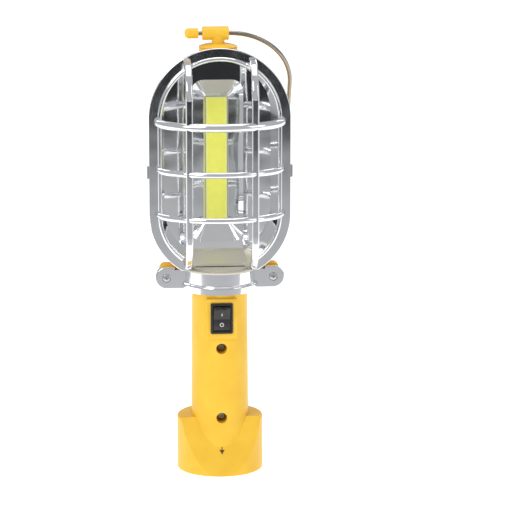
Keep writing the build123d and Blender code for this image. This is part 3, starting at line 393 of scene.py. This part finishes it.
def makeCellJacket(name, node, way):
    material, tree, shader = startMaterial(name, specular=0.5, coat=0.4, coatRoughness=0.1)
    low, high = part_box(node)
    place = addNode(tree, "ShaderNodeTexCoord")
    split = addNode(tree, "ShaderNodeSeparateXYZ")
    tree.links.new(place.outputs["Object"], split.inputs["Vector"])
    nubEnd = high[2] if way > 0 else low[2]
    along = mathNode(tree, "ABSOLUTE", mathNode(tree, "SUBTRACT", split.outputs["Z"], nubEnd))
    fade = cellBand["fade"]
    lineEnd = cellBand["width"] + cellBand["line"]
    band = remap(tree, along, cellBand["width"], cellBand["width"] + fade, 1.0, 0.0)
    line = remap(tree, along, lineEnd, lineEnd + fade, 1.0, 0.0)
    metalEnd = remap(tree, along, cellBand["bareEnd"], cellBand["bareEnd"] + fade, 1.0, 0.0)
    marks = useGroup(tree, handlingMarks, Smudge=0.5, Scratches=0.5)
    lined = mixColour(tree, line, (0.014, 0.014, 0.016, 1.0), (0.75, 0.75, 0.72, 1.0))
    banded = mixColour(tree, band, lined, (0.55, 0.26, 0.1, 1.0))
    capped = mixColour(tree, metalEnd, banded, (0.6, 0.6, 0.58, 1.0))
    rub = mathNode(tree, "MULTIPLY", marks.outputs["Mask"], 0.3)
    rubbed = mixColour(tree, rub, capped, (0.4, 0.39, 0.37, 1.0))
    tree.links.new(rubbed, shader.inputs["Base Color"])
    metal = mathNode(tree, "MAXIMUM", metalEnd, mathNode(tree, "MULTIPLY", band, 0.6))
    tree.links.new(metal, shader.inputs["Metallic"])
    tree.links.new(remap(tree, marks.outputs["Mask"], 0.0, 1.0, 0.24, 0.45), shader.inputs["Roughness"])
    skin = useGroup(tree, mouldedSkin, Grain_Scale=2500.0, Grain_Depth=0.000004, Sink_Depth=0.00003)
    tree.links.new(skin.outputs["Normal"], shader.inputs["Normal"])
    return material


# Reflector: mirror plating in the bowl, with a satin cream step at its foot
satinStep = {"top": 0.1478, "fade": 0.0004}


def makeReflectorPlate():
    material, tree, shader = startMaterial("reflectorPlate", metallic=1.0)
    skin = useGroup(tree, mouldedSkin, Grain_Scale=700.0, Grain_Depth=0.000004, Sink_Depth=0.0003)
    marks = useGroup(tree, handlingMarks, Smudge=0.35, Scratches=0.1)
    dust = useGroup(tree, settledDust, Amount=0.1)
    place = addNode(tree, "ShaderNodeTexCoord")
    split = addNode(tree, "ShaderNodeSeparateXYZ")
    tree.links.new(place.outputs["Object"], split.inputs["Vector"])
    satin = remap(tree, split.outputs["Z"], satinStep["top"], satinStep["top"] + satinStep["fade"], 1.0, 0.0)
    tint = mixColour(tree, marks.outputs["Mask"], (0.88, 0.89, 0.9, 1.0), (0.82, 0.83, 0.85, 1.0))
    stepped = mixColour(tree, satin, tint, (0.74, 0.7, 0.6, 1.0))
    dusty = mixColour(tree, dust.outputs["Mask"], stepped, metalDust)
    tree.links.new(dusty, shader.inputs["Base Color"])
    tree.links.new(remap(tree, satin, 0.0, 1.0, 1.0, 0.35), shader.inputs["Metallic"])
    rough = mathNode(tree, "ADD", mathNode(tree, "MULTIPLY", marks.outputs["Mask"], 0.1), 0.045)
    rougher = mathNode(tree, "MAXIMUM", rough, mathNode(tree, "MULTIPLY", satin, 0.4))
    tree.links.new(rougher, shader.inputs["Roughness"])
    tree.links.new(skin.outputs["Normal"], shader.inputs["Normal"])
    return material


# Satin cream plating of the neck's floor
neckSatin = plasticFinish("neckSatin", {
    "colour": (0.66, 0.62, 0.52, 1.0), "shade": (0.6, 0.56, 0.47, 1.0), "edge": (0.85, 0.83, 0.78, 1.0),
    "roughness": 0.3, "grainScale": 1800.0, "grainDepth": 0.000006, "sinkDepth": 0.0001,
    "wear": 0.6, "smudge": 0.4, "scratches": 0.2, "dust": 0.1, "specular": 0.7,
})
whiteInk = plasticFinish("whiteInk", {
    "colour": (0.78, 0.77, 0.78, 1.0), "shade": (0.7, 0.69, 0.7, 1.0), "edge": (0.6, 0.6, 0.6, 1.0),
    "roughness": 0.45, "grainScale": 4000.0, "grainDepth": 0.000004, "sinkDepth": 0.0,
    "wear": 0.5, "smudge": 0.4, "scratches": 0.3, "dust": 0.1,
})
brownInk = plasticFinish("brownInk", {
    "colour": (0.07, 0.025, 0.004, 1.0), "shade": (0.11, 0.04, 0.006, 1.0), "edge": (0.3, 0.14, 0.02, 1.0),
    "roughness": 0.5, "grainScale": 4000.0, "grainDepth": 0.000004, "sinkDepth": 0.0,
    "wear": 0.6, "smudge": 0.4, "scratches": 0.3, "dust": 0.05,
})
darkScrew = metalFinish("darkScrew", {
    "colour": (0.2, 0.17, 0.13, 1.0), "shade": (0.12, 0.1, 0.08, 1.0), "edge": (0.45, 0.42, 0.38, 1.0),
    "roughness": 0.35, "grainScale": 3000.0, "grainDepth": 0.000008, "sinkDepth": 0.0,
    "wear": 0.6, "smudge": 0.7, "scratches": 0.5, "dust": 0.15,
})
reflectorPlate = makeReflectorPlate()
jacketLeft = makeCellJacket("jacketLeft", "battery_left", 1)
jacketCentre = makeCellJacket("jacketCentre", "battery_centre", -1)
jacketRight = makeCellJacket("jacketRight", "battery_right", 1)

nodeFinish = {
    "handle_front_shell": yellowPlastic, "handle_rear_shell": yellowPlastic, "battery_door": yellowPlastic,
    "head_back_shell": yellowPlastic, "hook_tee": yellowPlastic, "hook_knob": yellowPlastic,
    "base_cover": coverPlastic, "guard_rim": guardChrome, "guard_hoop_lower": guardChrome,
    "guard_hoop_middle": guardChrome, "guard_hoop_upper": guardChrome, "guard_bar_left": guardChrome,
    "guard_bar_right": guardChrome, "guard_collar": guardChrome, "guard_catches": guardChrome,
    "neck_floor": neckSatin, "reflector": reflectorPlate, "switch_body": blackPlastic,
    "switch_rocker": blackPlastic, "switch_terminals": brassBlade, "handle_screws": darkScrew,
    "base_screws": zincSteel, "clamp_screws": zincSteel, "plate_screws": zincSteel,
    "swivel_screw": zincSteel, "swivel_washer": zincSteel, "magnet_cup": brightNickel,
    "base_magnet": darkFerrite, "battery_left": jacketLeft, "battery_centre": jacketCentre,
    "battery_right": jacketRight, "battery_springs": brightNickel, "battery_contacts": brightNickel,
    "driver_board": boardGreen, "limit_resistor": resistorClay, "lead_red": redSleeve,
    "lead_black": blackSleeve, "cob_board": bareAluminium, "heat_sink_plate": bareAluminium,
    "cob_phosphor": phosphorGel, "hook_wire": wireSteel,
}


def paint(obj, material):
    obj.data.materials.clear()
    obj.data.materials.append(material)


for node, finish in nodeFinish.items():
    paint(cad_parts[node], finish)
print("stage: nodes painted")


# Leave edit mode if it is on, and select nothing
def deselectAll():
    if bpy.context.object and bpy.context.object.mode != "OBJECT":
        bpy.ops.object.mode_set(mode="OBJECT")
    bpy.ops.object.select_all(action="DESELECT")


def selectOnly(obj):
    deselectAll()
    obj.select_set(True)
    bpy.context.view_layer.objects.active = obj


# Enter edit mode with just the faces that pass the test
def pickFaces(obj, test):
    selectOnly(obj)
    bpy.context.tool_settings.mesh_select_mode = (False, False, True)
    for part in (obj.data.vertices, obj.data.edges, obj.data.polygons):
        part.foreach_set("select", [False] * len(part))
    for face in obj.data.polygons:
        face.select = test(face)
    bpy.ops.object.mode_set(mode="EDIT")


def settle(obj):
    selectOnly(obj)
    bpy.ops.object.transform_apply(location=True, rotation=True, scale=True)


def addModifier(obj, kind, **settings):
    modifier = obj.modifiers.new(kind.lower(), kind)
    for key, value in settings.items():
        setattr(modifier, key, value)
    selectOnly(obj)
    bpy.ops.object.modifier_apply(modifier=modifier.name)


def cutAway(obj, cutter):
    addModifier(obj, "BOOLEAN", operation="DIFFERENCE", solver="EXACT", object=cutter)
    bpy.data.objects.remove(cutter, do_unlink=True)


def copyTo(obj, name, shift):
    twin = obj.copy()
    twin.data = obj.data.copy()
    twin.name = name
    bpy.context.scene.collection.objects.link(twin)
    twin.location = obj.location + Vector(shift)
    return twin


def joinAll(objects, name):
    deselectAll()
    for obj in objects:
        obj.select_set(True)
    bpy.context.view_layer.objects.active = objects[0]
    if len(objects) > 1:
        bpy.ops.object.join()
    whole = bpy.context.object
    whole.name = name
    return whole


def smoothOver(obj, angle=35.0):
    selectOnly(obj)
    bpy.ops.object.shade_smooth_by_angle(angle=math.radians(angle))


def hand(obj, name, body, slot, material, *nodes):
    settle(obj)
    obj.name = name
    obj.data.name = name
    paint(obj, material)
    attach(obj, body)
    if nodes:
        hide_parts(*nodes)


# Cross-head screw: the head rises to a smaller flat top with a tapered cross, on a plain shank with a tip.
# The values are shares of the size that each belongs to.
screwShape = {"topInset": 0.22, "topRise": 0.18, "topSpread": 1.05, "tipShare": 0.12, "tipSize": 0.35,
              "edge": 0.05, "slotWidth": 0.42, "slotDepth": 1.2, "slotTaper": 0.45}


def makeScrew(head, height, shank, length, cross):
    deselectAll()
    bpy.ops.mesh.primitive_cylinder_add(vertices=40, radius=head, depth=height, location=(0, 0, height / 2))
    screw = bpy.context.object
    pickFaces(screw, lambda face: face.normal.z > 0.9)
    bpy.ops.mesh.inset(thickness=head * screwShape["topInset"])
    bpy.ops.transform.translate(value=(0, 0, height * screwShape["topRise"]))
    bpy.ops.transform.resize(value=(screwShape["topSpread"], screwShape["topSpread"], 1.0))
    bpy.ops.object.mode_set(mode="OBJECT")
    selectOnly(screw)
    bpy.ops.transform.resize(value=(1, 1, 1 / (1 + screwShape["topRise"])))
    settle(screw)
    pickFaces(screw, lambda face: face.normal.z < -0.9)
    bpy.ops.mesh.inset(thickness=head - shank)
    tip = length * screwShape["tipShare"]
    bpy.ops.mesh.extrude_region_move(TRANSFORM_OT_translate={"value": (0, 0, tip - length)})
    bpy.ops.mesh.extrude_region_move(TRANSFORM_OT_translate={"value": (0, 0, -tip)})
    bpy.ops.transform.resize(value=(screwShape["tipSize"], screwShape["tipSize"], 1.0))
    bpy.ops.object.mode_set(mode="OBJECT")
    addModifier(screw, "BEVEL", width=head * screwShape["edge"], segments=2, limit_method="ANGLE")
    for turn in (0.0, 90.0):
        deselectAll()
        bpy.ops.mesh.primitive_cube_add(size=1.0, location=(0, 0, height))
        slot = bpy.context.object
        slot.scale = (cross * 2, cross * screwShape["slotWidth"], height * screwShape["slotDepth"])
        slot.rotation_euler = (0, 0, math.radians(turn))
        settle(slot)
        pickFaces(slot, lambda face: face.normal.z < -0.9)
        bpy.ops.transform.resize(value=(screwShape["slotTaper"], screwShape["slotTaper"], 1.0))
        bpy.ops.object.mode_set(mode="OBJECT")
        cutAway(screw, slot)
    smoothOver(screw, 30.0)
    return screw


# One screw is turned and copied to each place, and the copies replace the node
def placeScrews(node, places, screw, turn, finish, body):
    screw.rotation_euler = turn
    settle(screw)
    row = [copyTo(screw, f"{node}_{number}", place) for number, place in enumerate(places)]
    bpy.data.objects.remove(screw, do_unlink=True)
    for one in row:
        settle(one)
    group = joinAll(row, node + "_made")
    hand(group, node + "_made", body, "screw_steel", finish, node)


headForward = (math.radians(90), 0, 0)
headDown = (math.radians(180), 0, 0)

gripScrews = {"head": 0.0029, "height": 0.0016, "shank": 0.00128, "length": 0.0079, "cross": 0.0016}
low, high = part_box("handle_screws")
seat = low[1] + gripScrews["height"]
gripPlaces = [(0, seat, low[2] + gripScrews["head"]), (0, seat, high[2] - gripScrews["head"])]
placeScrews("handle_screws", gripPlaces, makeScrew(**gripScrews), headForward, darkScrew, "housing")

clampScrews = {"head": 0.0026, "height": 0.0016, "shank": 0.00128, "length": 0.0089, "cross": 0.0015}
low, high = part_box("clamp_screws")
seat = low[1] + clampScrews["height"]
middle = (low[2] + high[2]) / 2
clampPlaces = [(low[0] + clampScrews["head"], seat, middle), (high[0] - clampScrews["head"], seat, middle)]
placeScrews("clamp_screws", clampPlaces, makeScrew(**clampScrews), headForward, zincSteel, "housing")

footScrews = {"head": 0.0026, "height": 0.0013, "shank": 0.00128, "length": 0.0089, "cross": 0.0015}
low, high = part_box("base_screws")
side = high[0] - footScrews["head"]
seat = low[2] + footScrews["height"]
footPlaces = [
    (side, low[1] + footScrews["head"], seat),
    (-side, low[1] + footScrews["head"], seat),
    (0, high[1] - footScrews["head"], seat),
]
placeScrews("base_screws", footPlaces, makeScrew(**footScrews), headDown, zincSteel, "housing")
print("stage: screws made")


# Copy of a CAD node with doubled vertices merged and flat faces joined
def cleanCopy(node, name):
    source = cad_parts[node]
    piece = bpy.data.objects.new(name, source.data.copy())
    bpy.context.scene.collection.objects.link(piece)
    selectOnly(piece)
    bpy.ops.object.mode_set(mode="EDIT")
    bpy.ops.mesh.select_all(action="SELECT")
    bpy.ops.mesh.remove_doubles(threshold=0.000004)
    bpy.ops.mesh.dissolve_limited(angle_limit=math.radians(1.0))
    bpy.ops.object.mode_set(mode="OBJECT")
    return piece


# Rocker: the CAD shape with softened edges, and its two switch marks
rockerEdge = {"width": 0.00035, "segments": 3, "leastTurn": 28}
rockerMarks = {"ringRadius": 0.00135, "ringWidth": 0.00042, "barHalf": 0.0011, "barWidth": 0.00045,
               "lift": 0.00003}


def makeRocker():
    rocker = cleanCopy("switch_rocker", "rocker_cap")
    addModifier(rocker, "BEVEL", width=rockerEdge["width"], segments=rockerEdge["segments"],
                limit_method="ANGLE", angle_limit=math.radians(rockerEdge["leastTurn"]))
    smoothOver(rocker, 40.0)
    hand(rocker, "rocker_cap", "rocker", "black_plastic", blackPlastic, "switch_rocker")
    return rocker


# The largest face that looks forward on the rocker's upper or lower half
def rockerFace(rocker, upper):
    middle = sum(corner[2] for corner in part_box("switch_rocker")) / 2
    faces = [f for f in rocker.data.polygons if f.normal.y < -0.7 and (f.center.z > middle) == upper]
    return max(faces, key=lambda f: f.area)


def layMark(mark, face, name):
    turn = face.normal.to_track_quat("Z", "X")
    mark.rotation_euler = turn.to_euler()
    mark.location = Vector((0, face.center.y, face.center.z)) + face.normal * rockerMarks["lift"]
    hand(mark, name, "rocker", "black_plastic", whiteInk)


def makeMarks(rocker):
    deselectAll()
    bpy.ops.mesh.primitive_circle_add(vertices=40, radius=rockerMarks["ringRadius"], fill_type="NGON")
    ring = bpy.context.object
    pickFaces(ring, lambda face: True)
    bpy.ops.mesh.inset(thickness=rockerMarks["ringWidth"])
    bpy.ops.mesh.delete(type="FACE")
    bpy.ops.object.mode_set(mode="OBJECT")
    layMark(ring, rockerFace(rocker, False), "mark_off")
    deselectAll()
    bpy.ops.mesh.primitive_plane_add(size=1.0)
    bar = bpy.context.object
    bar.scale = (rockerMarks["barHalf"] * 2, rockerMarks["barWidth"], 1.0)
    settle(bar)
    pickFaces(bar, lambda face: True)
    bpy.ops.mesh.bevel(offset=rockerMarks["barWidth"] * 0.3, segments=3, affect="VERTICES")
    bpy.ops.object.mode_set(mode="OBJECT")
    layMark(bar, rockerFace(rocker, True), "mark_on")


makeMarks(makeRocker())
print("stage: rocker made")


# Lamp strip: a thin gel bar with a shallow groove round the edge of its face
def makeStrip():
    low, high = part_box("cob_phosphor")
    deselectAll()
    bpy.ops.mesh.primitive_cube_add(size=1.0, location=[(a + b) / 2 for a, b in zip(low, high)])
    strip = bpy.context.object
    strip.scale = [b - a for a, b in zip(low, high)]
    settle(strip)
    addModifier(strip, "BEVEL", width=gelStrip["corner"] * 0.25, segments=3, limit_method="ANGLE")
    pickFaces(strip, lambda face: face.normal.y < -0.99)
    bpy.ops.mesh.inset(thickness=gelStrip["border"])
    bpy.ops.transform.translate(value=(0, gelStrip["groove"], 0))
    bpy.ops.mesh.inset(thickness=gelStrip["border"])
    bpy.ops.transform.translate(value=(0, -gelStrip["groove"], 0))
    bpy.ops.object.mode_set(mode="OBJECT")
    smoothOver(strip)
    hand(strip, "gel_strip", "housing", "phosphor", phosphorGel, "cob_phosphor")


makeStrip()
print("stage: lamp strip made")


# Printed arrow on the slanted face of the foot, pointing at the magnet below
footArrow = {"headWidth": 0.0036, "headHeight": 0.0034, "stemWidth": 0.0007, "stemHeight": 0.0034,
             "tip": 0.0135, "lift": 0.00004, "stemStart": 0.96, "slantBelow": 0.03}


def makeArrow():
    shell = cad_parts["handle_front_shell"]
    low = [f for f in shell.data.polygons if f.center.z < footArrow["slantBelow"]]
    slant = [f for f in low if -0.98 < f.normal.y < -0.5 and f.normal.z > 0.2]
    face = max(slant, key=lambda f: f.area)
    normal = face.normal.copy()
    up = Vector((0, normal.z, -normal.y)).normalized()
    start = Vector((0, 0, footArrow["tip"]))
    depth = (face.center - start).dot(normal) / normal.y
    tip = Vector((0, depth, footArrow["tip"])) + normal * footArrow["lift"]
    deselectAll()
    bpy.ops.mesh.primitive_circle_add(vertices=3, radius=1.0, fill_type="NGON")
    arrow = bpy.context.object
    half = footArrow["headWidth"] / 2
    corners = [(0, 0), (-half, footArrow["headHeight"]), (half, footArrow["headHeight"])]
    for vertex, (across, rise) in zip(arrow.data.vertices, corners):
        vertex.co = Vector((across, 0, 0)) + up * rise
    stem = footArrow["stemWidth"] / 2
    bpy.ops.mesh.primitive_plane_add(size=1.0)
    bar = bpy.context.object
    foot = footArrow["headHeight"] * footArrow["stemStart"]
    top = footArrow["headHeight"] + footArrow["stemHeight"]
    places = [(-stem, foot), (stem, foot), (-stem, top), (stem, top)]
    for vertex, (across, rise) in zip(bar.data.vertices, places):
        vertex.co = Vector((across, 0, 0)) + up * rise
    whole = joinAll([arrow, bar], "foot_arrow")
    whole.location = tip
    settle(whole)
    pickFaces(whole, lambda face: True)
    bpy.ops.mesh.normals_make_consistent(inside=False)
    bpy.ops.object.mode_set(mode="OBJECT")
    if whole.data.polygons[0].normal.dot(normal) < 0:
        whole.data.flip_normals()
    hand(whole, "foot_arrow", "housing", "dark_yellow_plastic", brownInk)


makeArrow()
print("stage: arrow printed")


# Battery springs: coils of round wire between the contacts and the cells
coilSpring = {"wire": 0.00035, "turns": 5, "steps": 28, "sides": 10, "leastGap": 0.003}


def makeSprings():
    low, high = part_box("battery_springs")
    cells = [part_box(name) for name in ("battery_left", "battery_centre", "battery_right")]
    coils = []
    for cellLow, cellHigh in cells:
        centre = ((cellLow[0] + cellHigh[0]) / 2, (cellLow[1] + cellHigh[1]) / 2)
        below = cellLow[2] - low[2] > coilSpring["leastGap"]
        start = low[2] if below else cellHigh[2]
        rise = (cellLow[2] - low[2]) if below else (high[2] - cellHigh[2])
        ring = (high[1] - low[1]) / 2 - coilSpring["wire"]
        deselectAll()
        bpy.ops.mesh.primitive_circle_add(
            vertices=coilSpring["sides"], radius=coilSpring["wire"],
            rotation=(math.radians(90), 0, 0), location=(ring, 0, 0))
        coil = bpy.context.object
        settle(coil)
        climb = (rise - 2 * coilSpring["wire"]) / coilSpring["turns"]
        addModifier(coil, "SCREW", angle=math.radians(360), screw_offset=climb,
                    iterations=coilSpring["turns"], steps=coilSpring["steps"],
                    render_steps=coilSpring["steps"], use_merge_vertices=False)
        pickFaces(coil, lambda face: True)
        bpy.ops.mesh.normals_make_consistent(inside=False)
        bpy.ops.object.mode_set(mode="OBJECT")
        coil.location = (centre[0], centre[1], start + coilSpring["wire"])
        settle(coil)
        coils.append(coil)
    springs = joinAll(coils, "coil_springs")
    smoothOver(springs, 60.0)
    hand(springs, "coil_springs", "housing", "spring_steel", brightNickel, "battery_springs")


makeSprings()
print("stage: springs made")


# Grip ridges on the battery door, below the thumb dent
doorRidges = {"count": 5, "pitch": 0.0026, "halfWidth": 0.0065, "height": 0.0006, "thickness": 0.0011,
              "first": 0.028, "depthShare": 1.6, "edge": 0.00025}


def makeRidges():
    low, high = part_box("battery_door")
    deselectAll()
    bpy.ops.mesh.primitive_cylinder_add(
        vertices=96, radius=high[1] + doorRidges["height"] * 0.5, depth=doorRidges["thickness"])
    ridge = bpy.context.object
    limit = doorRidges["halfWidth"]
    pickFaces(ridge, lambda face: abs(face.normal.z) > 0.5)
    bpy.ops.mesh.inset(thickness=doorRidges["height"] * doorRidges["depthShare"])
    bpy.ops.mesh.delete(type="FACE")
    bpy.ops.object.mode_set(mode="OBJECT")
    pickFaces(ridge, lambda face: face.center.y < 0.0 or abs(face.center.x) > limit)
    bpy.ops.mesh.delete(type="FACE")
    bpy.ops.object.mode_set(mode="OBJECT")
    pickFaces(ridge, lambda face: True)
    bpy.ops.mesh.select_mode(type="EDGE")
    bpy.ops.mesh.select_all(action="DESELECT")
    bpy.ops.mesh.select_non_manifold(extend=False)
    bpy.ops.mesh.edge_face_add()
    bpy.ops.mesh.select_all(action="SELECT")
    bpy.ops.mesh.normals_make_consistent(inside=False)
    bpy.ops.object.mode_set(mode="OBJECT")
    addModifier(ridge, "BEVEL", width=doorRidges["edge"], segments=2, limit_method="ANGLE",
                angle_limit=math.radians(40))
    rows = []
    for number in range(doorRidges["count"]):
        rise = low[2] + doorRidges["first"] + number * doorRidges["pitch"]
        rows.append(copyTo(ridge, f"ridge_{number}", (0, 0, rise)))
    bpy.data.objects.remove(ridge, do_unlink=True)
    for row in rows:
        settle(row)
    ridges = joinAll(rows, "door_ridges")
    smoothOver(ridges, 40.0)
    hand(ridges, "door_ridges", "door", "yellow_plastic", yellowPlastic)


makeRidges()
print("stage: door ridges made")


# Stage: pale floor, soft lights, a shaded floor card that only reflections see, camera
stageSet = {
    "floorSize": 16.0,
    "floorColour": (0.87, 0.87, 0.87, 1.0),
    "floorGlow": 0.62,
    "cardNear": -0.28,
    "cardFar": -5.0,
    "cardTurn": -1.46,
    "cardReach": 2.0,
    "cardWidth": 6.0,
    "cardHeight": 0.004,
    "airStrength": 0.5,
}
# Greys along the card, each at a step from the place where it turns from black
cardGreys = ((-0.02, 0.034), (0.04, 0.17), (0.2, 0.4), (0.4, 0.52))
# Each light: place, point it looks at, size and power
lightSet = {
    "keyLight": ((-1.2, -1.5, 1.5), (0.0, 0.0, 0.15), (1.0, 1.2), 17.0),
    "fillLight": ((1.6, -1.2, 0.9), (0.0, 0.0, 0.15), (0.8, 1.2), 3.2),
    "topLight": ((0.0, 0.1, 1.9), (0.0, 0.0, 0.1), (1.2, 1.2), 11.0),
    "backLight": ((0.9, 1.6, 1.2), (0.0, 0.0, 0.2), (0.8, 0.8), 5.0),
}
viewSet = {
    "azimuth": -4.74,
    "elevation": 11.68,
    "distance": 1.9548,
    "lens": 204.6,
    "target": Vector((0.02404, 0.0, 0.14643)),
}


def addFloor():
    deselectAll()
    bpy.ops.mesh.primitive_plane_add(size=stageSet["floorSize"], location=(0, 0, 0))
    floor = bpy.context.object
    floor.name = "stageFloor"
    material, tree, shader = startMaterial("floorPaper", specular=0.1)
    shader.inputs["Base Color"].default_value = stageSet["floorColour"]
    shader.inputs["Roughness"].default_value = 0.9
    shader.inputs["Emission Color"].default_value = (1.0, 1.0, 1.0, 1.0)
    shader.inputs["Emission Strength"].default_value = stageSet["floorGlow"]
    paint(floor, material)


# Card in front of the lamp: grey close by and black further out, so the plating has something to show
def addCard():
    deselectAll()
    near, far = stageSet["cardNear"], stageSet["cardFar"]
    bpy.ops.mesh.primitive_plane_add(size=1.0, location=(0.0, (near + far) / 2, stageSet["cardHeight"]))
    card = bpy.context.object
    card.name = "floorCard"
    card.scale = (stageSet["cardWidth"], near - far, 1.0)
    bpy.ops.object.transform_apply(location=True, rotation=True, scale=True)
    material = bpy.data.materials.new("floorCard")
    material.use_nodes = True
    tree = material.node_tree
    tree.nodes.clear()
    place = addNode(tree, "ShaderNodeTexCoord")
    split = addNode(tree, "ShaderNodeSeparateXYZ")
    tree.links.new(place.outputs["Object"], split.inputs["Vector"])
    ramp = addNode(tree, "ShaderNodeValToRGB")
    level = remap(tree, split.outputs["Y"], -stageSet["cardReach"], 0.0)
    tree.links.new(level, ramp.inputs["Fac"])
    turn = 1.0 + stageSet["cardTurn"] / stageSet["cardReach"]
    stops = ramp.color_ramp.elements
    stops[0].position = 0.0
    stops[0].color = (0.026, 0.028, 0.03, 1.0)
    stops[1].position = 1.0
    stops[1].color = (0.72, 0.73, 0.74, 1.0)
    for step, grey in cardGreys:
        stop = stops.new(turn + step)
        stop.color = (grey, grey * 1.01, grey * 1.03, 1.0)
    glow = addNode(tree, "ShaderNodeEmission")
    tree.links.new(ramp.outputs["Color"], glow.inputs["Color"])
    out = addNode(tree, "ShaderNodeOutputMaterial")
    tree.links.new(glow.outputs["Emission"], out.inputs["Surface"])
    card.data.materials.append(material)
    card.visible_camera = False
    card.visible_diffuse = False
    card.visible_shadow = False


def addLight(name, place, aim, size, power):
    lamp = bpy.data.lights.new(name, "AREA")
    lamp.shape = "RECTANGLE"
    lamp.size = size[0]
    lamp.size_y = size[1]
    lamp.energy = power
    holder = bpy.data.objects.new(name, lamp)
    holder.location = place
    holder.rotation_euler = (Vector(aim) - Vector(place)).to_track_quat("-Z", "Y").to_euler()
    bpy.context.scene.collection.objects.link(holder)


def addWorld():
    world = bpy.data.worlds.new("studioAir")
    world.use_nodes = True
    back = world.node_tree.nodes["Background"]
    back.inputs["Color"].default_value = (0.97, 0.98, 1.0, 1.0)
    back.inputs["Strength"].default_value = stageSet["airStrength"]
    bpy.context.scene.world = world


def addCamera():
    azimuth = math.radians(viewSet["azimuth"])
    elevation = math.radians(viewSet["elevation"])
    way = Vector((
        math.sin(azimuth) * math.cos(elevation),
        -math.cos(azimuth) * math.cos(elevation),
        math.sin(elevation),
    ))
    camera = bpy.data.cameras.new("camera")
    camera.lens = viewSet["lens"]
    camera.clip_end = 100.0
    holder = bpy.data.objects.new("camera", camera)
    holder.location = viewSet["target"] + way * viewSet["distance"]
    holder.rotation_euler = (-way).to_track_quat("-Z", "Y").to_euler()
    bpy.context.scene.collection.objects.link(holder)
    bpy.context.scene.camera = holder


addFloor()
addCard()
for name, (place, aim, size, power) in lightSet.items():
    addLight(name, place, aim, size, power)
addWorld()
addCamera()
bpy.context.scene.view_settings.view_transform = "Standard"
print("stage: lights and camera placed")
